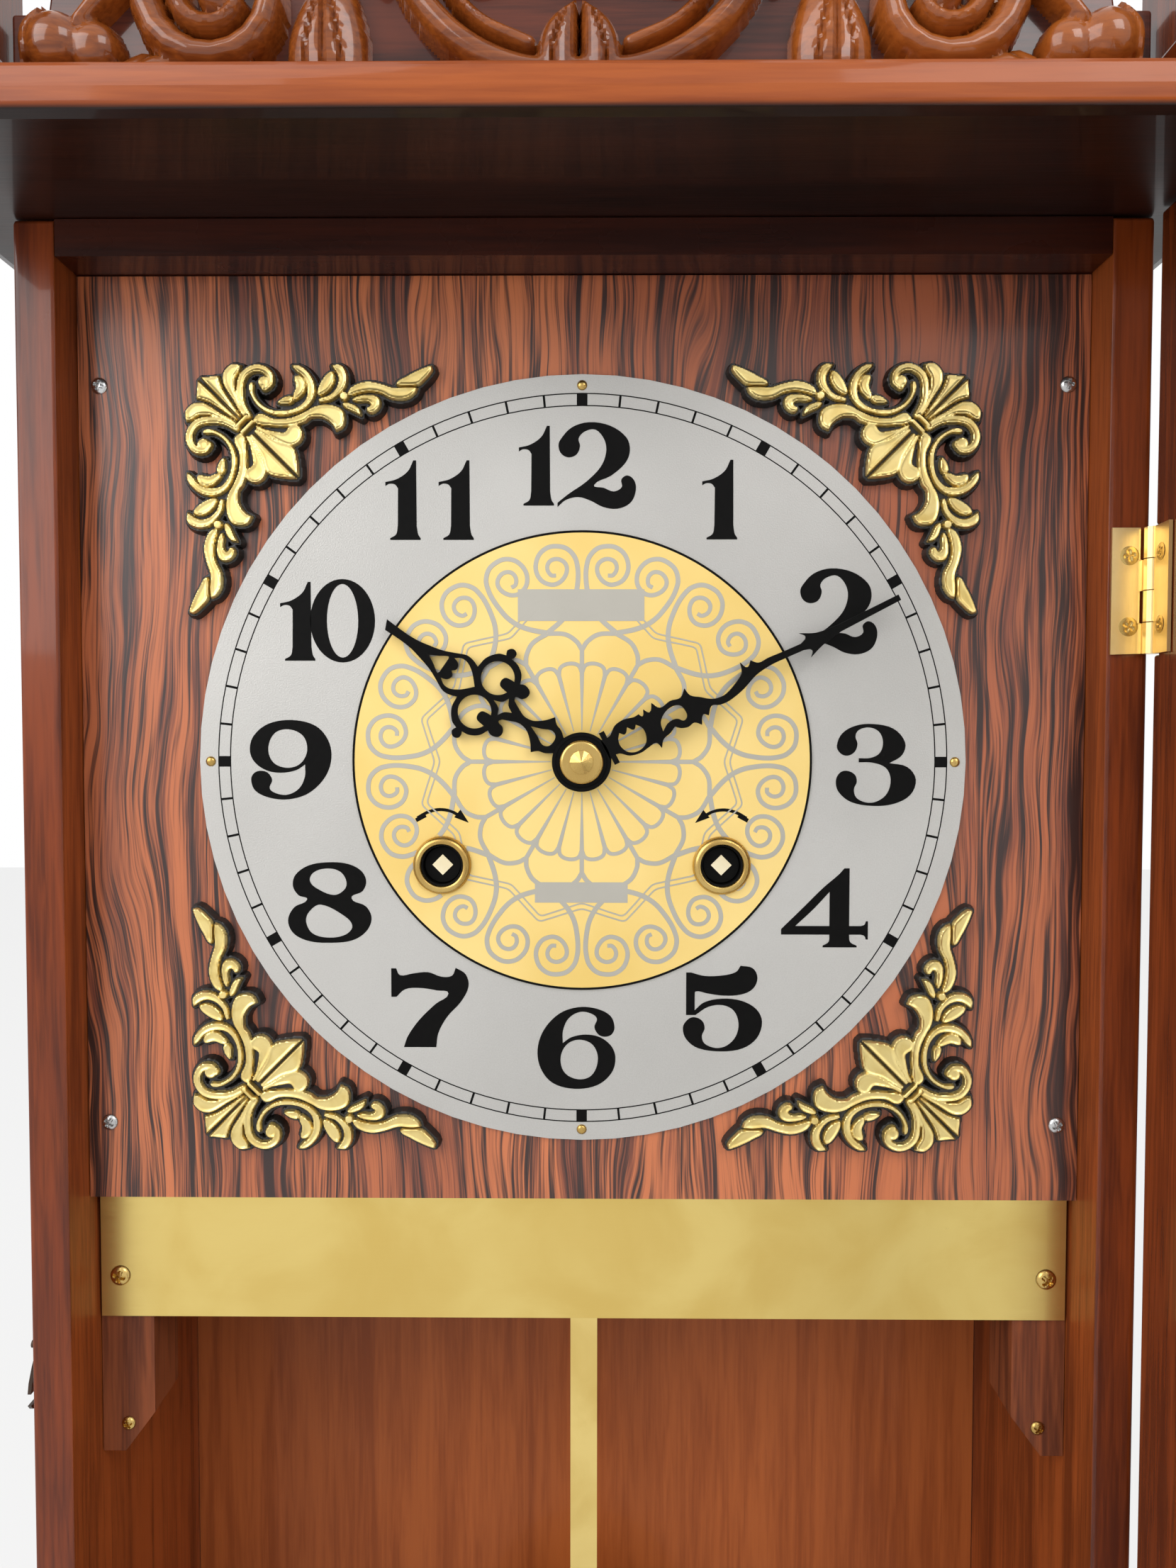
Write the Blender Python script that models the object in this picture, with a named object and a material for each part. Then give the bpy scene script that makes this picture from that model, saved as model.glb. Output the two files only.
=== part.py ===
"""Pendulum wall clock with its door open: case, dial, hands, going train, strike side, pendulum and door.

Metres, +Z up. The back of the case lies in the plane y = 0, the front faces -Y, x = 0 is the middle of
the case and z = 0 is the height of the dial's centre.
"""

import math

import bpy
import bmesh
from mathutils import Matrix, Vector
from mathutils.geometry import tessellate_polygon

for leftover in list(bpy.data.objects):
    bpy.data.objects.remove(leftover, do_unlink=True)

# ---------------------------------------------------------------- driving dimensions
GAP = 0.0003  # between pieces that touch

CASE_WIDTH = 0.3108
CASE_DEPTH = 0.1075
CASE_ABOVE = 0.1483  # dial centre up to the underside of the cornice
CASE_BELOW = 0.4100  # dial centre down to the floor of the case
SIDE_THICKNESS = 0.0110
TOP_THICKNESS = 0.0100
BACK_THICKNESS = 0.0040
KEYHOLE_Z = 0.1170

CORNICE_OVERHANG = 0.0196  # past each side of the case
CORNICE_REACH = 0.0553  # in front of the case
CORNICE_THICKNESS = 0.0119
BASE_THICKNESS = 0.0140
CREST_HEIGHT = 0.0880
CREST_BOARD_THICKNESS = 0.0080
CREST_CARVING_THICKNESS = 0.0100
CREST_SETBACK = 0.0080  # carving behind the cornice's front edge
POST_WIDTH = 0.0280
APRON_HEIGHT = 0.0560
APRON_THICKNESS = 0.0150

DIAL_SETBACK = 0.0123  # dial face behind the front edge of the case
DIAL_RADIUS = 0.1100
DIAL_THICKNESS = 0.0008
DIAL_CENTRE_RADIUS = 0.0659
DIAL_CENTRE_THICKNESS = 0.0003
PANEL_THICKNESS = 0.0050
PANEL_MARGIN_BELOW = 0.0178  # below the dial's edge
SEAT_PLATE_THICKNESS = 0.0010
SEAT_PLATE_BELOW = 0.1660
SEAT_PLATE_ABOVE = 0.0800
BATTEN_WIDTH = 0.0157
BATTEN_DEPTH = 0.0195
BATTEN_BELOW = 0.2080
BATTEN_CHAMFER = 0.0120
BATTEN_CHAMFER_ACROSS = 0.0090

WINDING_X = 0.0402
WINDING_Z = -0.0298
WINDING_SQUARE = 0.00425
GROMMET_RADIUS = 0.0084
GROMMET_BORE = 0.00595
GROMMET_SLEEVE = 0.0068

MOVEMENT_SETBACK = 0.0152  # front plate behind the dial face
PLATE_THICKNESS = 0.0015
PLATE_SPACING = 0.0350  # clear space between the two plates
PLATE_HALF_WIDTH = 0.0770
PLATE_BELOW = 0.0770
PLATE_ABOVE = 0.0680
PILLAR_RADIUS = 0.0035
PIVOT_RADIUS = 0.0009
SLIM_PIVOT_RADIUS = 0.00079  # arbor ends inside the pivot holes
PIVOT_CLEARANCE = 0.00025
ARBOR_RADIUS = 0.0010

GREAT_TEETH = 56
GREAT_MODULE = 0.00135
INTERMEDIATE_TEETH = 48
INTERMEDIATE_MODULE = 0.00105
CENTRE_TEETH = 60
CENTRE_MODULE = 0.00067
THIRD_TEETH = 54
THIRD_MODULE = 0.00067
SLOW_PINION = 8
FAST_PINION = 6
ESCAPE_TEETH = 32
ESCAPE_RADIUS = 0.0130
ESCAPE_Z = 0.0344
PENDULUM_PIVOT_Z = 0.0526
CANNON_TEETH = 12
MINUTE_WHEEL_TEETH = 36
MOTION_MODULE = 0.0006
MINUTE_PINION_TEETH = 10
HOUR_WHEEL_TEETH = 40
WHEEL_THICKNESS = 0.0014
SPRING_RADIUS = 0.0270
SPRING_END_PLAY = 0.0010  # off the front plate
SPRING_OFF_WHEEL = 0.0040  # in front of the great wheel

CENTRE_ARBOR_RADIUS = 0.0012
CANNON_BORE = 0.0015
CANNON_PIPE = 0.0023
HOUR_PIPE_BORE = 0.0026
HOUR_PIPE = 0.0037
HAND_THICKNESS = 0.0010
HOUR_HAND_LENGTH = 0.0682
MINUTE_HAND_LENGTH = 0.1017
HOUR_HAND_ANGLE = -55.0  # degrees clockwise from twelve
MINUTE_HAND_ANGLE = 62.8

PENDULUM_LENGTH = 0.3930  # pivot to the middle of the bob
ROD_WIDTH = 0.0092
ROD_THICKNESS = 0.0012
BOB_RADIUS = 0.0380
BOB_THICKNESS = 0.0080
GONG_RADIUS = 0.0480
GONG_WIRE = 0.0012
GONG_HEAD_RADIUS = 0.0070
GONG_X = -0.0700
GONG_Z = -0.1040
GONG_STANDOFF = 0.0140  # coil in front of the wall plane
HAMMER_BESIDE_GONG = 0.0050  # arbor outside the coil
HAMMER_OFF_COIL = 0.0010  # head off the coil at rest
HAMMER_ARM_THICKNESS = 0.0020
HAMMER_HEAD_RADIUS = 0.0050
HAMMER_HEAD_LENGTH = 0.0110
HAMMER_Z = -0.0645

DOOR_GAP = 0.0032  # between the case and the closed door
DOOR_THICKNESS = 0.0180
DOOR_FRAME_WIDTH = 0.0340
DOOR_REBATE_WIDTH = 0.0080
DOOR_REBATE_DEPTH = 0.0080
DOOR_CLEARANCE = 0.0007  # above and below the door
GLASS_THICKNESS = 0.0030
DOOR_OPENING = 90.0  # degrees, as modelled
HINGE_LENGTH = 0.0345
HINGE_BARREL = 0.0025
HINGE_PIN = 0.0009
HINGE_LEAF_WIDTH = 0.0105
HINGE_LEAF_THICKNESS = 0.0010
HINGE_KNUCKLES = 4
UPPER_HINGE_Z = 0.0470
LOWER_HINGE_Z = -0.3090
HOOK_Z = -0.1690
HOOK_LENGTH = 0.0190
HOOK_WIDTH = 0.0064
HOOK_BOW = 0.0028
HOOK_SETBACK = 0.0080  # stud behind the front edge of the case
HOOK_PIN_REACH = 0.0150  # stud to the door's pin

# ---------------------------------------------------------------- places worked out from them
HALF_WIDTH = CASE_WIDTH / 2
CORNICE_WIDTH = CASE_WIDTH + 2 * CORNICE_OVERHANG
PANEL_BELOW = DIAL_RADIUS + PANEL_MARGIN_BELOW
INNER_HALF = HALF_WIDTH - SIDE_THICKNESS
CASE_TOP = CASE_ABOVE
CASE_FLOOR = -CASE_BELOW
FRONT = -CASE_DEPTH
DIAL_FACE = FRONT + DIAL_SETBACK
PANEL_FRONT = DIAL_FACE + DIAL_THICKNESS + GAP
PANEL_BACK = PANEL_FRONT + PANEL_THICKNESS
SEAT_FRONT = PANEL_BACK + GAP
SEAT_BACK = SEAT_FRONT + SEAT_PLATE_THICKNESS
BATTEN_FRONT = SEAT_BACK + GAP
PLATE_FRONT = DIAL_FACE + MOVEMENT_SETBACK
PLATE_INNER_FRONT = PLATE_FRONT + PLATE_THICKNESS
PLATE_INNER_BACK = PLATE_INNER_FRONT + PLATE_SPACING
PLATE_BACK = PLATE_INNER_BACK + PLATE_THICKNESS
ROD_Y = PLATE_BACK + 0.0080
CORNICE_BOTTOM = CASE_TOP + GAP
CORNICE_TOP = CORNICE_BOTTOM + CORNICE_THICKNESS
CORNICE_FRONT = FRONT - CORNICE_REACH
HINGE_AXIS_Y = FRONT - GAP - HINGE_BARREL
DOOR_INNER = FRONT - DOOR_GAP
DOOR_OUTER = DOOR_INNER - DOOR_THICKNESS
HOOK_Y = FRONT + HOOK_SETBACK
DOOR_TOP = CORNICE_BOTTOM - DOOR_CLEARANCE
DOOR_BOTTOM = CASE_FLOOR + DOOR_CLEARANCE


# ---------------------------------------------------------------- mesh kit
def placed(axis, u, v, level):
    """A point at (u, v) across the axis and at level along it."""
    if axis == "X":
        return (level, u, v)
    if axis == "Y":
        return (u, level, v)
    return (u, v, level)


FILL_SCALE = 1000  # caps are filled in millimetres, where the fill's tolerances are small


class Shell:
    """A closed mesh put together from rings of points, walls between rings, and caps."""

    def __init__(self, axis):
        self.axis = axis
        self.points = []
        self.faces = []

    def ring(self, outline, level):
        first = len(self.points)
        self.points += [placed(self.axis, u, v, level) for u, v in outline]
        return list(range(first, len(self.points)))

    def wall(self, one, two):
        count = len(one)
        for i in range(count):
            j = (i + 1) % count
            self.faces.append((one[i], one[j], two[j], two[i]))

    def cap(self, outer, *holes):
        loops = [outer, *holes]
        flat = [index for loop in loops for index in loop]
        corners = [[Vector(self.points[index]) * FILL_SCALE for index in loop] for loop in loops]
        for triangle in tessellate_polygon(corners):
            self.faces.append(tuple(flat[k] for k in triangle))


def plate(axis, outline, low, high, holes=(), posts=()):
    """A flat plate with holes right through it; a post is (outline, level) and stands out to its level."""
    shell = Shell(axis)
    for near, far in ((low, high), (high, low)):
        outer = shell.ring(outline, near)
        inner = [shell.ring(hole, near) for hole in holes]
        feet = [
            (shell.ring(post, near), post, end)
            for post, end in posts
            if (end < low) == (near == low)
        ]
        shell.cap(outer, *inner, *[foot for foot, _, _ in feet])
        for foot, post, end in feet:
            head = shell.ring(post, end)
            shell.wall(foot, head)
            shell.cap(head)
        if near == low:
            low_rings = [outer, *inner]
        else:
            for one, two in zip(low_rings, [outer, *inner]):
                shell.wall(one, two)
    return shell


def tower(axis, sections, bore=None):
    """Flat-ended prisms stacked along the axis. A section is (low, high, outline, holes), each outline
    inside or outside its neighbour's, and the bore goes through them all."""
    shell = Shell(axis)
    bores = []
    ends = []
    for low, high, outline, holes in sections:
        rings = {}
        for level in (low, high):
            rings[level] = [shell.ring(loop, level) for loop in (outline, *holes)]
        for one, two in zip(rings[low], rings[high]):
            shell.wall(one, two)
        ends.append((rings[low], rings[high], extent(outline)))
    if bore:
        bores = [shell.ring(bore, sections[0][0]), shell.ring(bore, sections[-1][1])]
        shell.wall(bores[0], bores[1])
    shell.cap(*ends[0][0], *bores[:1])
    shell.cap(*ends[-1][1], *bores[1:])
    for below, above in zip(ends, ends[1:]):
        if below[2] > above[2]:
            shell.cap(*below[1], above[0][0])
            if len(above[0]) > 1:
                raise ValueError("a pierced section lies against a larger one")
        else:
            shell.cap(*above[0], below[1][0])
    return shell


def extent(outline):
    middle_u = sum(u for u, _ in outline) / len(outline)
    middle_v = sum(v for _, v in outline) / len(outline)
    return max(math.hypot(u - middle_u, v - middle_v) for u, v in outline)


def lofted(axis, levels):
    """A solid through outlines of equally many points; levels is a list of (outline, level)."""
    shell = Shell(axis)
    rings = [shell.ring(outline, level) for outline, level in levels]
    for one, two in zip(rings, rings[1:]):
        shell.wall(one, two)
    shell.cap(rings[0])
    shell.cap(rings[-1])
    return shell


def turned(axis, centre, profile, sides):
    """A profile of (radius, level) turned about the axis through centre; a closed one is hollow."""
    closed = profile[0] == profile[-1]
    steps = profile[:-1] if closed else profile
    shell = Shell(axis)
    rings = []
    for radius, level in steps:
        if radius == 0:
            rings.append(shell.ring([centre], level))
        else:
            rings.append(shell.ring(circle(radius, sides, centre), level))
    pairs = list(zip(rings, rings[1:]))
    if closed:
        pairs.append((rings[-1], rings[0]))
    for one, two in pairs:
        if len(one) == len(two):
            shell.wall(one, two)
            continue
        pole, rim = (one[0], two) if len(one) == 1 else (two[0], one)
        for i in range(sides):
            shell.faces.append((rim[i], rim[(i + 1) % sides], pole))
    return shell


def tube(path, radius, sides):
    """Round wire along a path that stays in a plane of constant y."""
    shell = Shell("Y")
    rings = []
    for i, point in enumerate(path):
        ahead = Vector(path[min(i + 1, len(path) - 1)])
        behind = Vector(path[max(i - 1, 0)])
        across = (ahead - behind).normalized().cross(Vector((0, 1, 0)))
        ring = []
        for k in range(sides):
            turn = 2 * math.pi * k / sides
            spot = Vector(point) + radius * (math.cos(turn) * across + math.sin(turn) * Vector((0, 1, 0)))
            ring.append(len(shell.points))
            shell.points.append(tuple(spot))
        rings.append(ring)
    for one, two in zip(rings, rings[1:]):
        shell.wall(one, two)
    shell.faces.append(tuple(rings[0]))
    shell.faces.append(tuple(reversed(rings[-1])))
    return shell


def box(x, y, z):
    return plate("Z", rectangle(x[0], x[1], y[0], y[1]), z[0], z[1])


# ---------------------------------------------------------------- outlines
def rectangle(left, right, low, high):
    return [(left, low), (right, low), (right, high), (left, high)]


def circle(radius, sides, centre=(0.0, 0.0), turn=0.0):
    return [
        (
            centre[0] + radius * math.cos(turn + 2 * math.pi * k / sides),
            centre[1] + radius * math.sin(turn + 2 * math.pi * k / sides),
        )
        for k in range(sides)
    ]


def arc(centre, radius, start, end, steps):
    """Points on an arc from start to end, in degrees counterclockwise from +u."""
    points = []
    for k in range(steps + 1):
        turn = math.radians(start + (end - start) * k / steps)
        points.append((centre[0] + radius * math.cos(turn), centre[1] + radius * math.sin(turn)))
    return points


def moved(outline, shift, clockwise=0.0):
    """An outline turned clockwise by degrees about its origin and then shifted."""
    turn = math.radians(-clockwise)
    cosine = math.cos(turn)
    sine = math.sin(turn)
    return [
        (shift[0] + cosine * u - sine * v, shift[1] + sine * u + cosine * v)
        for u, v in outline
    ]


def mirrored(outline):
    return [(-u, v) for u, v in reversed(outline)]


def gear(teeth, module, centre, phase):
    """Straight-flanked teeth; phase is the direction of one tooth, in radians."""
    tip = (teeth / 2 + 0.95) * module
    root = (teeth / 2 - 1.20) * module
    step = 2 * math.pi / teeth
    points = []
    for k in range(teeth):
        for share, radius in ((-0.27, root), (-0.11, tip), (0.11, tip), (0.27, root)):
            turn = phase + (k + share) * step
            points.append((centre[0] + radius * math.cos(turn), centre[1] + radius * math.sin(turn)))
    return points


def crossings(centre, inner, outer, count, arm):
    """The openings between the arms of a wheel."""
    holes = []
    for k in range(count):
        start = 2 * math.pi * k / count
        end = 2 * math.pi * (k + 1) / count
        hole = []
        for radius, first, last in ((outer, start, end), (inner, end, start)):
            slack = math.copysign(arm / 2 / radius, last - first)
            steps = 4 if radius == outer else 1
            for j in range(steps + 1):
                turn = first + slack + (last - first - 2 * slack) * j / steps
                hole.append((centre[0] + radius * math.cos(turn), centre[1] + radius * math.sin(turn)))
        holes.append(hole)
    return holes


# ---------------------------------------------------------------- gear train geometry
def pitch(teeth, module):
    return teeth * module / 2


def reach(one, distance_one, two, distance_two, side):
    """The point at the given distances from two points, on the chosen side of the line between them."""
    gap_u = two[0] - one[0]
    gap_v = two[1] - one[1]
    span = math.hypot(gap_u, gap_v)
    along = (distance_one**2 - distance_two**2 + span**2) / (2 * span)
    off = side * math.sqrt(distance_one**2 - along**2)
    return (
        one[0] + (along * gap_u - off * gap_v) / span,
        one[1] + (along * gap_v + off * gap_u) / span,
    )


def meshed(driver_at, driver_teeth, driver_phase, at, teeth):
    """The phase that puts a gap of the second gear over a tooth of the first."""
    toward = math.atan2(at[1] - driver_at[1], at[0] - driver_at[0])
    lag = (toward - driver_phase) % (2 * math.pi / driver_teeth)
    return toward + math.pi + lag * driver_teeth / teeth + math.pi / teeth


# ---------------------------------------------------------------- objects
BOOLEAN_SCALE = 1000


def material(name, colour, roughness, metallic=0.0):
    made = bpy.data.materials.new(name)
    made.use_nodes = True
    shader = made.node_tree.nodes["Principled BSDF"]
    shader.inputs["Base Color"].default_value = (*colour, 1.0)
    shader.inputs["Roughness"].default_value = roughness
    shader.inputs["Metallic"].default_value = metallic
    return made


LACQUER = material("red_brown_lacquer", (0.16, 0.045, 0.022), 0.25)
EDGE_WOOD = material("orange_brown_wood", (0.36, 0.12, 0.045), 0.35)
INNER_WOOD = material("plain_brown_wood", (0.17, 0.065, 0.03), 0.6)
LAMINATE = material("dark_veined_laminate", (0.30, 0.11, 0.05), 0.4)
BRASS = material("brass", (0.70, 0.52, 0.22), 0.3, 1.0)
STEEL = material("steel", (0.55, 0.55, 0.56), 0.35, 1.0)
BLUE_STEEL = material("spring_steel", (0.12, 0.13, 0.17), 0.35, 1.0)
SILVER_PAINT = material("silver_dial", (0.60, 0.60, 0.60), 0.45)
GOLD_FOIL = material("gold_foil", (0.85, 0.58, 0.20), 0.35, 0.4)
GILT = material("gilt_plastic", (0.75, 0.55, 0.22), 0.3, 0.8)
BLACK = material("black_paint", (0.012, 0.012, 0.012), 0.4)
BRONZE = material("dark_bronze", (0.10, 0.07, 0.06), 0.45, 0.6)
GLASS = material("clear_glass", (0.9, 0.95, 0.95), 0.05)


def piece(name, shell, finish, origin=(0.0, 0.0, 0.0)):
    """One named object from a shell in world coordinates, with its own origin."""
    mesh = bpy.data.meshes.new(name)
    mesh.from_pydata([Vector(point) - Vector(origin) for point in shell.points], [], shell.faces)
    work = bmesh.new()
    work.from_mesh(mesh)
    bmesh.ops.remove_doubles(work, verts=work.verts, dist=1e-7)
    bmesh.ops.recalc_face_normals(work, faces=work.faces)
    work.to_mesh(mesh)
    work.free()
    mesh.materials.append(finish)
    made = bpy.data.objects.new(name, mesh)
    made.location = origin
    bpy.context.scene.collection.objects.link(made)
    mesh.shade_smooth()
    mesh.set_sharp_from_angle(angle=math.radians(35))
    return made


def joined(made, shells, operation="UNION"):
    """Exact boolean of an object with further shells, kept as one mesh. It is done a thousand times as
    large, where the solver's own tolerances are small against the pieces."""
    made.data.transform(Matrix.Scale(BOOLEAN_SCALE, 4))
    for index, shell in enumerate(shells):
        tool = piece(f"{made.name}_tool_{index}", shell, made.data.materials[0])
        tool.data.transform(Matrix.Scale(BOOLEAN_SCALE, 4))
        change = made.modifiers.new(f"step_{index}", "BOOLEAN")
        change.operation = operation
        change.solver = "EXACT"
        change.object = tool
        bpy.context.view_layer.update()
        result = bpy.data.meshes.new_from_object(made.evaluated_get(bpy.context.evaluated_depsgraph_get()))
        made.modifiers.clear()
        made.data = result
        bpy.data.objects.remove(tool, do_unlink=True)
    made.data.transform(Matrix.Scale(1 / BOOLEAN_SCALE, 4))
    return made


# ---------------------------------------------------------------- case
def slab_levels(half, back, front, steps):
    """Rectangles for a moulded slab; a step is (inset on three sides, level)."""
    return [(rectangle(-half + inset, half - inset, front + inset, back), level) for inset, level in steps]


def build_case():
    inner = INNER_HALF - GAP
    nail_hole = rectangle(-0.0100, 0.0100, KEYHOLE_Z - 0.0080, KEYHOLE_Z + 0.0170)
    outline = rectangle(-inner, inner, CASE_FLOOR, CASE_TOP)
    piece("back_panel", plate("Y", outline, -BACK_THICKNESS, 0, holes=[nail_hole]), INNER_WOOD)
    for side, sign in (("left", -1), ("right", 1)):
        across = sorted((sign * INNER_HALF, sign * HALF_WIDTH))
        piece(f"side_board_{side}", box(across, (FRONT, 0), (CASE_FLOOR, CASE_TOP)), LACQUER)
    behind = -BACK_THICKNESS - GAP
    piece("top_board", box((-inner, inner), (FRONT, behind), (CASE_TOP - TOP_THICKNESS, CASE_TOP)), LACQUER)

    half = CORNICE_WIDTH / 2
    rise = CORNICE_THICKNESS
    cornice_steps = [
        (0.0040, CORNICE_BOTTOM),
        (0.0004, CORNICE_BOTTOM + 0.10 * rise),
        (0.0, CORNICE_BOTTOM + 0.45 * rise),
        (0.0006, CORNICE_BOTTOM + 0.85 * rise),
        (0.0020, CORNICE_TOP),
    ]
    piece("cornice", lofted("Z", slab_levels(half, 0.0, CORNICE_FRONT, cornice_steps)), EDGE_WOOD)

    base_top = CASE_FLOOR - GAP
    base_front = DOOR_OUTER - 0.0060
    base_steps = [
        (0.0090, base_top - BASE_THICKNESS),
        (0.0030, base_top - 0.55 * BASE_THICKNESS),
        (0.0, base_top - 0.30 * BASE_THICKNESS),
        (0.0, base_top),
    ]
    base_half = HALF_WIDTH + 0.0080
    piece("base_moulding", lofted("Z", slab_levels(base_half, 0.0, base_front, base_steps)), EDGE_WOOD)
    build_apron(base_top - BASE_THICKNESS - GAP)


def build_apron(top):
    """The shaped board under the case, with a turned-looking drop cut into its middle."""
    half = HALF_WIDTH - 0.0100
    drop = APRON_HEIGHT
    right = [
        (half, top),
        (half, top - 0.22 * drop),
        *arc((half - 0.012, top - 0.30 * drop), 0.012, 0, -90, 4),
        *arc((half - 0.058, top - 0.10 * drop), 0.034, -60, -120, 5),
        *arc((0.040, top - 0.62 * drop), 0.018, 70, 180, 6),
        *arc((0.0, top - drop + 0.016), 0.016, 0, -90, 4),
    ]
    left = mirrored(right)
    outline = right + left[1:]
    piece("apron", plate("Y", outline, -APRON_THICKNESS, -GAP), LACQUER)


def square_ring(half, centre):
    """A square as sixteen points, to loft into a circle of sixteen."""
    points = []
    for k in range(16):
        turn = 2 * math.pi * (k + 0.5) / 16
        across = max(abs(math.cos(turn)), abs(math.sin(turn)))
        points.append((centre[0] + half * math.cos(turn) / across, centre[1] + half * math.sin(turn) / across))
    return points


def build_crest():
    base = CORNICE_TOP + GAP
    carving_front = CORNICE_FRONT + CREST_SETBACK
    carving_back = carving_front + CREST_CARVING_THICKNESS
    board_front = carving_back + GAP
    board_back = board_front + CREST_BOARD_THICKNESS
    post_inner = CORNICE_WIDTH / 2 - 0.0100 - POST_WIDTH
    half = post_inner - GAP

    board = [(half, base), (half, base + 0.020)]
    board += arc((0.098, base + 0.020), 0.030, 0, 110, 7)
    board += arc((0.045, base + 0.014), 0.028, 60, 120, 4)
    board += arc((0.0, base + CREST_HEIGHT - 0.034), 0.030, -20, 90, 8)
    outline = board + mirrored(board)[1:]
    piece("crest_board", plate("Y", outline, board_front, board_back), LACQUER)

    lobes = [(half - 0.002, base), (half - 0.002, base + 0.007)]
    lobes += arc((0.121, base + 0.010), 0.0095, 0, 150, 5)
    lobes += arc((0.089, base + 0.0235), 0.0210, 10, 170, 9)
    lobes += arc((0.057, base + 0.017), 0.0120, 60, 170, 5)
    lobes += arc((0.030, base + 0.026), 0.0160, 30, 150, 6)
    lobes += arc((0.0, base + CREST_HEIGHT - 0.020), 0.0180, -30, 90, 7)
    outline = lobes + mirrored(lobes)[1:]
    piece("crest_carving", plate("Y", outline, carving_front, carving_back), LACQUER)

    for side, sign in (("left", -1), ("right", 1)):
        middle = (sign * (post_inner + POST_WIDTH / 2), (carving_front + board_back) / 2)
        body = POST_WIDTH / 2
        levels = [
            (square_ring(body, middle), base),
            (square_ring(body, middle), base + 0.006),
            (square_ring(body - 0.002, middle), base + 0.008),
            (square_ring(body - 0.002, middle), base + 0.046),
            (square_ring(body + 0.001, middle), base + 0.049),
            (square_ring(body + 0.001, middle), base + 0.053),
        ]
        finial = [(0.006, 0.055), (0.005, 0.060), (0.0105, 0.068), (0.0120, 0.075), (0.0095, 0.083), (0.0035, 0.089)]
        finial += [(0.0022, 0.094), (0.0034, 0.098), (0.0008, 0.101)]
        levels += [(circle(r, 16, middle, math.pi / 16), base + rise) for r, rise in finial]
        piece(f"crest_post_{side}", lofted("Z", levels), LACQUER)


def build_battens():
    top = CASE_TOP - TOP_THICKNESS - 0.0060
    for side, sign in (("left", -1), ("right", 1)):
        wall = sign * (INNER_HALF - GAP)
        free = sign * (INNER_HALF - GAP - BATTEN_WIDTH)
        cut = sign * (INNER_HALF - GAP - BATTEN_WIDTH + BATTEN_CHAMFER_ACROSS)
        outline = [(wall, -BATTEN_BELOW), (wall, top), (free, top), (free, -BATTEN_BELOW + BATTEN_CHAMFER)]
        outline.append((cut, -BATTEN_BELOW))
        piece(f"batten_{side}", plate("Y", outline, BATTEN_FRONT, BATTEN_FRONT + BATTEN_DEPTH), INNER_WOOD)


def build_hanger():
    """The steel plate inside the back panel, over its hole, whose keyhole hooks over the wall nail."""
    keyhole = arc((0.0, KEYHOLE_Z), 0.0046, 120, 420, 10)
    keyhole += arc((0.0, KEYHOLE_Z + 0.0110), 0.0022, 0, 180, 6)
    outline = rectangle(-0.0300, 0.0300, KEYHOLE_Z - 0.0120, KEYHOLE_Z + 0.0185)
    behind = -BACK_THICKNESS - GAP
    piece("hanger_plate", plate("Y", outline, behind - 0.0015, behind, holes=[keyhole]), STEEL)


# ---------------------------------------------------------------- dial
def build_dial():
    half = INNER_HALF - GAP
    bushes = [(-WINDING_X, WINDING_Z), (WINDING_X, WINDING_Z)]
    sleeve_holes = [circle(GROMMET_SLEEVE + GAP, 20, spot) for spot in bushes]
    centre_hole = circle(HOUR_PIPE + 0.0013, 20)
    top = CASE_TOP - TOP_THICKNESS - GAP

    outline = rectangle(-half, half, -PANEL_BELOW, top)
    panel = plate("Y", outline, PANEL_FRONT, PANEL_BACK, holes=[centre_hole, *sleeve_holes])
    piece("dial_panel", panel, LAMINATE)
    disc = plate("Y", circle(DIAL_RADIUS, 72), DIAL_FACE, DIAL_FACE + DIAL_THICKNESS, [centre_hole, *sleeve_holes])
    piece("dial", disc, SILVER_PAINT)
    front = DIAL_FACE - GAP - DIAL_CENTRE_THICKNESS
    foil = plate("Y", circle(DIAL_CENTRE_RADIUS, 48), front, DIAL_FACE - GAP, [centre_hole, *sleeve_holes])
    piece("dial_centre_disc", foil, GOLD_FOIL)

    lip = front - GAP
    for side, spot in zip(("left", "right"), bushes):
        profile = [
            (GROMMET_BORE, lip - 0.0012),
            (GROMMET_BORE + 0.0006, lip - 0.0018),
            (GROMMET_RADIUS - 0.0007, lip - 0.0018),
            (GROMMET_RADIUS, lip - 0.0011),
            (GROMMET_RADIUS, lip),
            (GROMMET_SLEEVE, lip),
            (GROMMET_SLEEVE, PANEL_BACK - GAP),
            (GROMMET_BORE, PANEL_BACK - GAP),
        ]
        ring = turned("Y", spot, [*profile, profile[0]], 20)
        piece(f"winding_grommet_{side}", ring, BRASS)

    seat_half = INNER_HALF - 0.0009
    outline = rectangle(-seat_half, seat_half, -SEAT_PLATE_BELOW, SEAT_PLATE_ABOVE)
    holes = [circle(HOUR_PIPE + 0.0013, 16), *[circle(GROMMET_BORE, 16, spot) for spot in bushes]]
    piece("movement_seat_plate", plate("Y", outline, SEAT_FRONT, SEAT_BACK, holes), BRASS)


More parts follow.
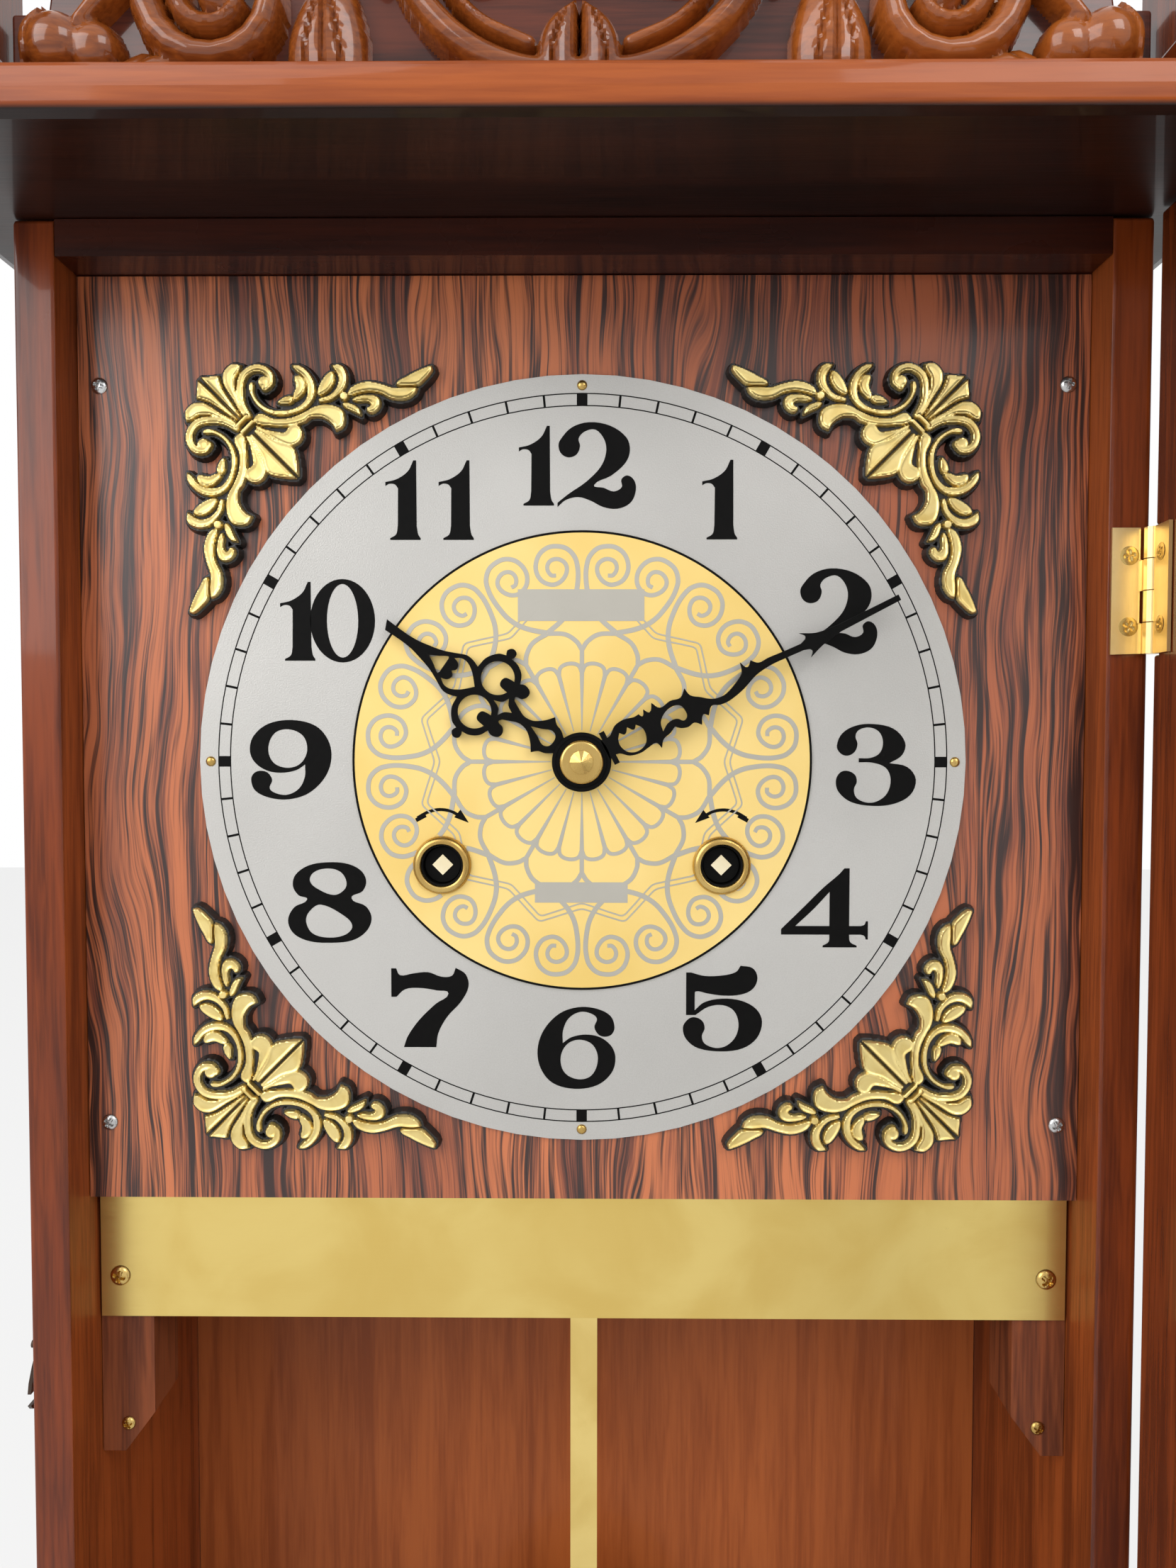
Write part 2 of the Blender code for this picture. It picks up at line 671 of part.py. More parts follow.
def ornament_half():
    """One leafy arm of a corner ornament, from its outer point round to its inner point; the corner of
    the two arms is the origin and the arms run along -u and -v."""
    return [
        (-0.0045, -0.0035),
        (-0.0120, -0.0045),
        (-0.0140, 0.0),
        (-0.0190, -0.0012),
        (-0.0240, -0.0030),
        (-0.0255, -0.0085),
        (-0.0320, -0.0105),
        (-0.0330, -0.0035),
        (-0.0385, -0.0050),
        (-0.0420, -0.0025),
        (-0.0475, -0.0040),
        (-0.0540, -0.0042),
        (-0.0610, -0.0045),
        (-0.0715, -0.0030),
        (-0.0690, -0.0085),
        (-0.0600, -0.0105),
        (-0.0540, -0.0145),
        (-0.0500, -0.0120),
        (-0.0440, -0.0150),
        (-0.0415, -0.0190),
        (-0.0380, -0.0120),
        (-0.0330, -0.0160),
        (-0.0330, -0.0215),
        (-0.0330, -0.0330),
    ]


def build_ornaments():
    arm = ornament_half()
    swapped = [(v, u) for u, v in reversed(arm)]
    outline = arm + swapped[1:]
    inner_reach = math.hypot(0.0330, 0.0330)
    offset = (DIAL_RADIUS + 0.0022 + inner_reach) / math.sqrt(2)
    corner = Vector((offset, offset))
    for height, vertical in (("upper", 1), ("lower", -1)):
        for side, sideways in (("left", -1), ("right", 1)):
            shape = [(sideways * (u + corner.x), vertical * (v + corner.y)) for u, v in outline]
            body = plate("Y", shape, PANEL_FRONT - GAP - 0.0048, PANEL_FRONT - GAP)
            piece(f"ornament_{height}_{side}", body, GILT)


# ---------------------------------------------------------------- movement
TIME_GREAT_AT = (WINDING_X, WINDING_Z)
STRIKE_GREAT_AT = (-WINDING_X, WINDING_Z)
CENTRE_AT = (0.0, 0.0)
ESCAPE_AT = (0.0, ESCAPE_Z)
INTERMEDIATE_AT = reach(
    TIME_GREAT_AT,
    pitch(GREAT_TEETH + SLOW_PINION, GREAT_MODULE),
    CENTRE_AT,
    pitch(INTERMEDIATE_TEETH + SLOW_PINION, INTERMEDIATE_MODULE),
    -1,
)
THIRD_AT = reach(
    CENTRE_AT,
    pitch(CENTRE_TEETH + FAST_PINION, CENTRE_MODULE),
    ESCAPE_AT,
    pitch(THIRD_TEETH + FAST_PINION, THIRD_MODULE),
    1,
)
MINUTE_WHEEL_AT = (0.0, -pitch(CANNON_TEETH + MINUTE_WHEEL_TEETH, MOTION_MODULE))
HOUR_MODULE = 2 * abs(MINUTE_WHEEL_AT[1]) / (MINUTE_PINION_TEETH + HOUR_WHEEL_TEETH)
PILLARS = [(0.0700, -0.0700), (-0.0700, -0.0700), (0.0620, 0.0590), (-0.0620, 0.0590)]
HAMMER_X = GONG_X + GONG_RADIUS + HAMMER_BESIDE_GONG
HAMMER_AT = (HAMMER_X, HAMMER_Z)

PIVOT_FRONT = PLATE_FRONT + 0.0002
PIVOT_BACK = PLATE_BACK - 0.0002
SHOULDER_FRONT = PLATE_INNER_FRONT + GAP
SHOULDER_BACK = PLATE_INNER_BACK - GAP
GREAT_LEVEL = PLATE_INNER_BACK - 0.0150
INTERMEDIATE_LEVEL = PLATE_INNER_BACK - 0.0080
CENTRE_LEVEL = PLATE_INNER_BACK - 0.0200
THIRD_LEVEL = PLATE_INNER_FRONT + 0.0070
ESCAPE_LEVEL = PLATE_INNER_FRONT + 0.0120


def at_y(spot, level=0.0):
    return (spot[0], level, spot[1])


def arbor(spot, parts):
    """A pivoted arbor with its wheels and pinions; a part is (level, thickness, outline, holes)."""
    shaft = circle(ARBOR_RADIUS, 10, spot)
    pivot = circle(SLIM_PIVOT_RADIUS, 10, spot)
    sections = [(PIVOT_FRONT, SHOULDER_FRONT, pivot, [])]
    level = SHOULDER_FRONT
    for start, thickness, outline, holes in parts:
        if start > level:
            sections.append((level, start, shaft, []))
        sections.append((start, start + thickness, outline, holes))
        level = start + thickness
    sections.append((level, SHOULDER_BACK, shaft, []))
    sections.append((SHOULDER_BACK, PIVOT_BACK, pivot, []))
    return tower("Y", sections)


def wheel_part(teeth, module, spot, phase, level, arms=5):
    rim = pitch(teeth, module) - 4.2 * module
    holes = crossings(spot, max(0.22 * rim, ARBOR_RADIUS + 0.0016), rim, arms, 0.12 * rim)
    return (level, WHEEL_THICKNESS, gear(teeth, module, spot, phase), holes)


def build_plates():
    arbors = [CENTRE_AT, INTERMEDIATE_AT, THIRD_AT, ESCAPE_AT]
    pivots = [circle(PIVOT_RADIUS + PIVOT_CLEARANCE, 10, spot) for spot in arbors[1:]]
    outline = [
        (-PLATE_HALF_WIDTH, -PLATE_BELOW),
        (PLATE_HALF_WIDTH, -PLATE_BELOW),
        (PLATE_HALF_WIDTH, 0.30 * PLATE_ABOVE),
        (PLATE_HALF_WIDTH - 0.0080, PLATE_ABOVE),
        (-PLATE_HALF_WIDTH + 0.0080, PLATE_ABOVE),
        (-PLATE_HALF_WIDTH, 0.30 * PLATE_ABOVE),
    ]
    great = [circle(0.0030 + PIVOT_CLEARANCE, 12, spot) for spot in (TIME_GREAT_AT, STRIKE_GREAT_AT)]
    pendulum = circle(PIVOT_RADIUS + PIVOT_CLEARANCE, 10, (0.0, PENDULUM_PIVOT_Z))
    hammer = circle(PIVOT_RADIUS + PIVOT_CLEARANCE, 10, HAMMER_AT)
    centre = circle(CENTRE_ARBOR_RADIUS + PIVOT_CLEARANCE, 12, CENTRE_AT)
    spacers = [(circle(PILLAR_RADIUS, 12, spot), SEAT_BACK + GAP) for spot in PILLARS]
    stub = (circle(0.0010, 12, MINUTE_WHEEL_AT), PLATE_FRONT - 0.0066)
    front = plate(
        "Y",
        outline,
        PLATE_FRONT,
        PLATE_INNER_FRONT,
        [centre, *pivots, *great, pendulum, hammer],
        [*spacers, stub],
    )
    piece("movement_front_plate", front, BRASS)

    pillars = [(circle(PILLAR_RADIUS, 12, spot), PLATE_INNER_FRONT + GAP) for spot in PILLARS]
    bracket_foot = (
        rectangle(-0.0060, 0.0060, PENDULUM_PIVOT_Z + 0.0032, PENDULUM_PIVOT_Z + 0.0110),
        ROD_Y + 0.0030,
    )
    crutch_hole = circle(PIVOT_RADIUS + PIVOT_CLEARANCE, 10, (0.0, PENDULUM_PIVOT_Z))
    back = plate(
        "Y",
        outline,
        PLATE_INNER_BACK,
        PLATE_BACK,
        [circle(PIVOT_RADIUS + PIVOT_CLEARANCE, 10), *pivots, *great, crutch_hole, hammer],
        [*pillars, bracket_foot],
    )
    piece("movement_back_plate", back, BRASS)


def build_trains():
    slow = GREAT_MODULE
    great_phase = 0.0
    for side, spot in (("time", TIME_GREAT_AT), ("strike", STRIKE_GREAT_AT)):
        rim = pitch(GREAT_TEETH, slow) - 4.2 * slow
        holes = crossings(spot, 0.0110, rim, 5, 0.0050)
        wheel = tower(
            "Y",
            [
                (GREAT_LEVEL, GREAT_LEVEL + 0.0018, gear(GREAT_TEETH, slow, spot, great_phase), holes),
                (GREAT_LEVEL + 0.0018, GREAT_LEVEL + 0.0035, circle(0.0070, 20, spot), []),
            ],
            bore=circle(0.0042, 16, spot),
        )
        piece(f"{side}_great_wheel", wheel, BRASS, at_y(spot, GREAT_LEVEL))
        build_winding_arbor(side, spot)
        build_mainspring(side, spot)

    toward = INTERMEDIATE_AT
    pinion_phase = meshed(TIME_GREAT_AT, GREAT_TEETH, great_phase, toward, SLOW_PINION)
    intermediate = arbor(
        toward,
        [
            (GREAT_LEVEL - 0.0020, 0.0055, gear(SLOW_PINION, slow, toward, pinion_phase), []),
            wheel_part(INTERMEDIATE_TEETH, INTERMEDIATE_MODULE, toward, 0.1, INTERMEDIATE_LEVEL),
        ],
    )
    piece("intermediate_wheel", intermediate, BRASS, at_y(toward))

    pinion_phase = meshed(toward, INTERMEDIATE_TEETH, 0.1, CENTRE_AT, SLOW_PINION)
    centre_sections = [
        (CANNON_FRONT - 0.0022, SHOULDER_FRONT, circle(CENTRE_ARBOR_RADIUS, 12), []),
        (SHOULDER_FRONT, CENTRE_LEVEL, circle(0.0020, 12), []),
        (
            CENTRE_LEVEL,
            CENTRE_LEVEL + WHEEL_THICKNESS,
            gear(CENTRE_TEETH, CENTRE_MODULE, CENTRE_AT, 0.2),
            crossings(CENTRE_AT, 0.0045, 0.0170, 4, 0.0024),
        ),
        (CENTRE_LEVEL + WHEEL_THICKNESS, INTERMEDIATE_LEVEL - 0.0020, circle(0.0020, 12), []),
        (
            INTERMEDIATE_LEVEL - 0.0020,
            INTERMEDIATE_LEVEL + 0.0035,
            gear(SLOW_PINION, INTERMEDIATE_MODULE, CENTRE_AT, pinion_phase),
            [],
        ),
        (INTERMEDIATE_LEVEL + 0.0035, SHOULDER_BACK, circle(0.0020, 12), []),
        (SHOULDER_BACK, PIVOT_BACK, circle(SLIM_PIVOT_RADIUS, 12), []),
    ]
    piece("centre_wheel", tower("Y", centre_sections), BRASS, at_y(CENTRE_AT))

    pinion_phase = meshed(CENTRE_AT, CENTRE_TEETH, 0.2, THIRD_AT, FAST_PINION)
    third = arbor(
        THIRD_AT,
        [
            wheel_part(THIRD_TEETH, THIRD_MODULE, THIRD_AT, 0.3, THIRD_LEVEL, 4),
            (CENTRE_LEVEL - 0.0020, 0.0055, gear(FAST_PINION, CENTRE_MODULE, THIRD_AT, pinion_phase), []),
        ],
    )
    piece("third_wheel", third, BRASS, at_y(THIRD_AT))

    pinion_phase = meshed(THIRD_AT, THIRD_TEETH, 0.3, ESCAPE_AT, FAST_PINION)
    escape_holes = crossings(ESCAPE_AT, 0.0030, 0.0088, 4, 0.0018)
    escape = arbor(
        ESCAPE_AT,
        [
            (THIRD_LEVEL - 0.0020, 0.0055, gear(FAST_PINION, THIRD_MODULE, ESCAPE_AT, pinion_phase), []),
            (ESCAPE_LEVEL, 0.0010, escape_outline(), escape_holes),
        ],
    )
    piece("escape_wheel", escape, BRASS, at_y(ESCAPE_AT))


def escape_outline():
    """Pointed teeth that lean forward."""
    step = 2 * math.pi / ESCAPE_TEETH
    points = []
    for k in range(ESCAPE_TEETH):
        for share, radius in ((0.0, ESCAPE_RADIUS - 0.0022), (0.62, ESCAPE_RADIUS), (0.70, ESCAPE_RADIUS)):
            turn = -(k + share) * step
            points.append((radius * math.sin(turn), ESCAPE_Z + radius * math.cos(turn)))
    return points


def build_winding_arbor(side, spot):
    """The arbor that the key turns: square end in front, spring core, ratchet behind the great wheel."""
    square = circle(WINDING_SQUARE / math.sqrt(2), 4, spot)
    teeth = 18
    ratchet = []
    for k in range(teeth):
        for share, radius in ((0.0, 0.0074), (0.08, 0.0092)):
            turn = 2 * math.pi * (k + share) / teeth
            ratchet.append((spot[0] + radius * math.cos(turn), spot[1] + radius * math.sin(turn)))
    core = circle(0.0036, 16, spot)
    behind = GREAT_LEVEL + 0.0035 + GAP
    sections = [
        (DIAL_FACE + 0.0005, PLATE_FRONT - 0.0012, square, []),
        (PLATE_FRONT - 0.0012, PLATE_FRONT - GAP, circle(0.0038, 16, spot), []),
        (PLATE_FRONT - GAP, SHOULDER_FRONT, circle(0.0030 * 0.96, 12, spot), []),
        (SHOULDER_FRONT, behind, core, []),
        (behind, behind + 0.0020, ratchet, []),
        (behind + 0.0020, SHOULDER_BACK, core, []),
        (SHOULDER_BACK, PIVOT_BACK, circle(0.0030 * 0.96, 12, spot), []),
    ]
    piece(f"{side}_winding_arbor", tower("Y", sections), STEEL, at_y(spot))


def build_mainspring(side, spot):
    """An open coiled strip between the plates, its inner end at the arbor's core."""
    turns = 5.0
    per_turn = 14
    thick = 0.0006
    first = 0.0036 + GAP + thick
    growth = (SPRING_RADIUS - first) / (turns * per_turn)
    hand = 1 if side == "time" else -1
    outer = []
    inner = []
    for k in range(int(turns * per_turn) + 1):
        turn = hand * 2 * math.pi * k / per_turn
        radius = first + growth * k
        direction = (math.cos(turn), math.sin(turn))
        outer.append((spot[0] + radius * direction[0], spot[1] + radius * direction[1]))
        inner.append((spot[0] + (radius - thick) * direction[0], spot[1] + (radius - thick) * direction[1]))
    start = PLATE_INNER_FRONT + SPRING_END_PLAY
    end = GREAT_LEVEL - SPRING_OFF_WHEEL
    strip = Shell("Y")
    rings = []
    for near, far in zip(inner, outer):
        rings.append(strip.ring([near, far], start) + strip.ring([far, near], end))
    for one, two in zip(rings, rings[1:]):
        strip.wall(one, two)
    strip.faces.append(tuple(rings[0]))
    strip.faces.append(tuple(reversed(rings[-1])))
    piece(f"{side}_mainspring", strip, BLUE_STEEL, at_y(spot))


# ---------------------------------------------------------------- motion work and hands
HOUR_HAND_FRONT = DIAL_FACE - 0.0034
MINUTE_HAND_FRONT = HOUR_HAND_FRONT - 0.0030
CANNON_FRONT = MINUTE_HAND_FRONT - GAP
CANNON_LEVEL = PLATE_FRONT - 0.0026
MINUTE_WHEEL_LEVEL = CANNON_LEVEL + 0.0004
HOUR_WHEEL_LEVEL = PLATE_FRONT - 0.0058


def build_motion_work():
    cannon = tower(
        "Y",
        [
            (CANNON_FRONT, CANNON_LEVEL, circle(CANNON_PIPE, 14), []),
            (CANNON_LEVEL, CANNON_LEVEL + 0.0022, gear(CANNON_TEETH, MOTION_MODULE, CENTRE_AT, 0.0), []),
        ],
        bore=circle(CANNON_BORE, 14),
    )
    piece("cannon_pinion", cannon, BRASS, at_y(CENTRE_AT))

    spot = MINUTE_WHEEL_AT
    wheel_phase = meshed(CENTRE_AT, CANNON_TEETH, 0.0, spot, MINUTE_WHEEL_TEETH)
    pinion_phase = 0.15
    minute = tower(
        "Y",
        [
            (
                HOUR_WHEEL_LEVEL - 0.0006,
                MINUTE_WHEEL_LEVEL,
                gear(MINUTE_PINION_TEETH, HOUR_MODULE, spot, pinion_phase),
                [],
            ),
            (
                MINUTE_WHEEL_LEVEL,
                MINUTE_WHEEL_LEVEL + 0.0012,
                gear(MINUTE_WHEEL_TEETH, MOTION_MODULE, spot, wheel_phase),
                [],
            ),
        ],
        bore=circle(0.0013, 12, spot),
    )
    piece("minute_wheel", minute, BRASS, at_y(spot))

    wheel_phase = meshed(spot, MINUTE_PINION_TEETH, pinion_phase, CENTRE_AT, HOUR_WHEEL_TEETH)
    hour = tower(
        "Y",
        [
            (HOUR_HAND_FRONT - GAP, HOUR_WHEEL_LEVEL, circle(HOUR_PIPE, 16), []),
            (
                HOUR_WHEEL_LEVEL,
                HOUR_WHEEL_LEVEL + 0.0012,
                gear(HOUR_WHEEL_TEETH, HOUR_MODULE, CENTRE_AT, wheel_phase),
                [],
            ),
        ],
        bore=circle(HOUR_PIPE_BORE, 14),
    )
    piece("hour_wheel", hour, BRASS, at_y(CENTRE_AT))


def hour_hand_half():
    """Right half of the hour hand, from its tip down to the hub, along +v."""
    tip = HOUR_HAND_LENGTH
    return [
        (0.0013, tip),
        (0.0013, tip - 0.0070),
        (0.0020, tip - 0.0140),
        (0.0042, tip - 0.0210),
        (0.0062, tip - 0.0245),
        (0.0056, tip - 0.0285),
        (0.0100, tip - 0.0300),
        (0.0124, tip - 0.0330),
        (0.0146, tip - 0.0330),
        (0.0150, tip - 0.0350),
        (0.0124, tip - 0.0360),
        (0.0110, tip - 0.0390),
        (0.0080, tip - 0.0410),
        (0.0086, tip - 0.0440),
        (0.0060, tip - 0.0450),
        (0.0030, tip - 0.0420),
        (0.0013, tip - 0.0450),
        (0.0015, tip - 0.0500),
        (0.0052, tip - 0.0545),
        (0.0036, tip - 0.0560),
        (0.0030, tip - 0.0590),
        (0.0042, 0.0072),
    ]


def minute_hand_side():
    """Right side of the minute hand, from its tip down to the hub, along +v."""
    tip = MINUTE_HAND_LENGTH
    return [
        (0.0008, tip),
        (0.0009, tip - 0.0220),
        (0.0030, tip - 0.0305),
        (0.0007, tip - 0.0310),
        (0.0006, tip - 0.0440),
        (0.0034, tip - 0.0560),
        (0.0025, tip - 0.0630),
        (0.0048, tip - 0.0660),
        (0.0040, tip - 0.0720),
        (0.0055, tip - 0.0790),
        (0.0048, tip - 0.0850),
        (0.0025, tip - 0.0905),
        (0.0050, tip - 0.0920),
        (0.0045, 0.0070),
    ]


def hand_outline(right, left):
    """The two sides joined by the back of the round hub."""
    end = right[-1]
    angle = math.degrees(math.atan2(end[1], end[0]))
    hub = math.hypot(*end)
    round_back = arc((0.0, 0.0), hub, angle, angle - 2 * (90 + angle), 18)
    return right[:-1] + round_back + left[1:]


def build_hands():
    half = hour_hand_half()
    outline = hand_outline(half, mirrored(half))
    eyes = [circle(0.0038, 14, (sign * 0.0058, HOUR_HAND_LENGTH - 0.0340)) for sign in (-1, 1)]
    shaped = [moved(loop, (0, 0), HOUR_HAND_ANGLE) for loop in (outline, circle(HOUR_PIPE + GAP, 16), *eyes)]
    hand = plate("Y", shaped[0], HOUR_HAND_FRONT, HOUR_HAND_FRONT + HAND_THICKNESS, shaped[1:])
    piece("hour_hand", hand, BLACK, at_y(CENTRE_AT))

    side = minute_hand_side()
    slim = [(min(u, 0.0045), v) for u, v in side]
    outline = hand_outline(side, [(-u, v) for u, v in reversed(slim)])
    eyes = [circle(0.0022, 12, (0.0, MINUTE_HAND_LENGTH - drop)) for drop in (0.0725, 0.0850)]
    loops = (outline, circle(CANNON_PIPE + GAP, 14), *eyes)
    shaped = [moved(loop, (0, 0), MINUTE_HAND_ANGLE) for loop in loops]
    hand = plate("Y", shaped[0], MINUTE_HAND_FRONT, MINUTE_HAND_FRONT + HAND_THICKNESS, shaped[1:])
    piece("minute_hand", hand, BLACK, at_y(CENTRE_AT))

    back = CANNON_FRONT - GAP
    profile = [
        (0.0, back - 0.0045),
        (0.0033, back - 0.0030),
        (0.0036, back - 0.0024),
        (0.0058, back - 0.0013),
        (0.0061, back - 0.0009),
        (0.0061, back),
        (CANNON_BORE, back),
        (CANNON_BORE, back - 0.0023),
        (0.0, back - 0.0023),
    ]
    piece("hand_nut", turned("Y", CENTRE_AT, profile, 24), BRASS, at_y(CENTRE_AT))


# ---------------------------------------------------------------- pendulum, anchor, hammer and gong
def build_pendulum():
    top = PENDULUM_PIVOT_Z
    bob_z = top - PENDULUM_LENGTH
    half = ROD_WIDTH / 2
    thread = 0.0016
    outline = [
        (0.0020, top + 0.0024),
        (0.0020, top - 0.0110),
        (half, top - 0.0150),
        (half, bob_z - 0.0150),
        (thread, bob_z - 0.0180),
        (thread, bob_z - BOB_RADIUS - 0.0110),
    ]
    rod_origin = (0.0, ROD_Y, top)
    rod = plate("Y", outline + mirrored(outline), ROD_Y - ROD_THICKNESS / 2, ROD_Y + ROD_THICKNESS / 2)
    piece("pendulum_rod", rod, BRASS, rod_origin)

    face = ROD_Y - ROD_THICKNESS / 2 - GAP
    back = face - BOB_THICKNESS
    profile = [
        (0.0, back),
        (0.60 * BOB_RADIUS, back + 0.0012),
        (0.90 * BOB_RADIUS, back + 0.0040),
        (BOB_RADIUS, back + 0.0062),
        (BOB_RADIUS, face - 0.0006),
        (BOB_RADIUS - 0.0012, face),
        (0.0, face),
    ]
    piece("pendulum_bob", turned("Y", (0.0, bob_z), profile, 32), BRASS, (0.0, face, bob_z))

    nut_top = bob_z - BOB_RADIUS - 0.0020
    bore = 0.0019
    profile = [
        (bore, nut_top),
        (0.0042, nut_top),
        (0.0055, nut_top - 0.0010),
        (0.0055, nut_top - 0.0035),
        (0.0042, nut_top - 0.0045),
        (bore, nut_top - 0.0045),
    ]
    nut = turned("Z", (0.0, ROD_Y), [*profile, profile[0]], 16)
    piece("rating_nut", nut, BRASS, (0.0, ROD_Y, nut_top))


def build_anchor():
    """The anchor between the plates with its arbor, and the crutch behind them round the pendulum rod."""
    pivot = (0.0, PENDULUM_PIVOT_Z)
    shaft = circle(ARBOR_RADIUS, 10, pivot)
    thin = circle(SLIM_PIVOT_RADIUS, 10, pivot)
    crutch_front = PLATE_BACK + GAP
    crutch_back = crutch_front + 0.0012
    reach_down = 0.0190
    half = 0.0115
    right = [
        (0.0, 0.0032),
        (0.0034, 0.0022),
        (0.0125, -0.0040),
        (half + 0.0030, -0.0080),
        (half, -0.0088),
        (half - 0.0005, -0.0052),
        (0.0020, -0.0024),
    ]
    arms = right + mirrored(right)[:-1]
    arms = [(u, v + PENDULUM_PIVOT_Z) for u, v in arms]
    crutch = [(0.0017, 0.0019), (0.0019, -reach_down + 0.0012), (ROD_WIDTH / 2 + 0.0018, -reach_down)]
    crutch += [(ROD_WIDTH / 2 + 0.0018, -reach_down - 0.0030)]
    crutch = [(u, v + PENDULUM_PIVOT_Z) for u, v in crutch + mirrored(crutch)]
    body = tower(
        "Y",
        [
            (PIVOT_FRONT, SHOULDER_FRONT, thin, []),
            (SHOULDER_FRONT, ESCAPE_LEVEL - 0.0004, shaft, []),
            (ESCAPE_LEVEL - 0.0004, ESCAPE_LEVEL + 0.0014, arms, []),
            (ESCAPE_LEVEL + 0.0014, SHOULDER_BACK, shaft, []),
            (SHOULDER_BACK, crutch_front, thin, []),
            (crutch_front, crutch_back, crutch, []),
        ],
    )
    anchor = piece("anchor", body, STEEL)
    fingers = []
    for sign in (-1, 1):
        near = ROD_WIDTH / 2 + GAP
        across = sorted((sign * near, sign * (near + 0.0014)))
        down = (PENDULUM_PIVOT_Z - reach_down - 0.0026, PENDULUM_PIVOT_Z - reach_down - 0.0004)
        fingers.append(box(across, (crutch_back - 0.0004, ROD_Y + 0.0020), down))
    joined(anchor, fingers)
    anchor.data.transform(Matrix.Translation((0.0, 0.0, -PENDULUM_PIVOT_Z)))
    anchor.location = (0.0, 0.0, PENDULUM_PIVOT_Z)


def gong_path():
    """A flat coil, starting against the stand's head and ending nearest the hammer."""
    turns = 2.6
    per_turn = 16
    count = int(turns * per_turn)
    first = GONG_HEAD_RADIUS + GONG_WIRE + GAP
    path = []
    for k in range(count + 1):
        radius = first + (GONG_RADIUS - first) * k / count
        turn = 2 * math.pi * (k - count) / per_turn
        path.append((GONG_X + radius * math.cos(turn), -GONG_STANDOFF, GONG_Z + radius * math.sin(turn)))
    return path


def build_gong():
    piece("coil_gong", tube(gong_path(), GONG_WIRE, 6), BLUE_STEEL)
    behind = -BACK_THICKNESS - GAP
    middle = (GONG_X, GONG_Z)
    stand = tower(
        "Y",
        [
            (-GONG_STANDOFF - 0.0025, -GONG_STANDOFF + 0.0025, circle(GONG_HEAD_RADIUS, 16, middle), []),
            (-GONG_STANDOFF + 0.0025, behind - 0.0030, circle(0.0045, 16, middle), []),
            (behind - 0.0030, behind, circle(0.0150, 20, middle), []),
        ],
    )
    piece("gong_stand", stand, BRONZE, (GONG_X, 0.0, GONG_Z))


def build_hammer():
    """The strike hammer: a pivoted arbor, a wire arm and a head that rests just off the coil."""
    spot = HAMMER_AT
    head_z = GONG_Z
    shaft = circle(ARBOR_RADIUS, 10, spot)
    thin = circle(SLIM_PIVOT_RADIUS, 10, spot)
    plane = -GONG_STANDOFF
    arm_front = plane - HAMMER_ARM_THICKNESS / 2
    arm_back = plane + HAMMER_ARM_THICKNESS / 2
    arm = [
        (HAMMER_X - 0.0016, HAMMER_Z + 0.0020),
        (HAMMER_X + 0.0016, HAMMER_Z + 0.0020),
        (HAMMER_X + 0.0012, head_z - 0.0010),
        (HAMMER_X - 0.0012, head_z - 0.0010),
    ]
    body = tower(
        "Y",
        [
            (PIVOT_FRONT, SHOULDER_FRONT, thin, []),
            (SHOULDER_FRONT, SHOULDER_BACK, shaft, []),
            (SHOULDER_BACK, PLATE_BACK + GAP, thin, []),
            (PLATE_BACK + GAP, arm_front, shaft, []),
            (arm_front, arm_back, arm, []),
        ],
    )
    hammer = piece("hammer", body, STEEL)
    face = GONG_X + GONG_RADIUS + GONG_WIRE + HAMMER_OFF_COIL
    end = face + HAMMER_HEAD_LENGTH
    crown = HAMMER_HEAD_RADIUS - 0.0005
    profile = [(0.0, face), (crown, face), (HAMMER_HEAD_RADIUS, face + 0.0008), (HAMMER_HEAD_RADIUS, end), (0.0, end)]
    joined(hammer, [turned("X", (plane, head_z), profile, 16)])
    shift = (HAMMER_X, 0.0, HAMMER_Z)
    hammer.data.transform(Matrix.Translation([-value for value in shift]))
    hammer.location = shift


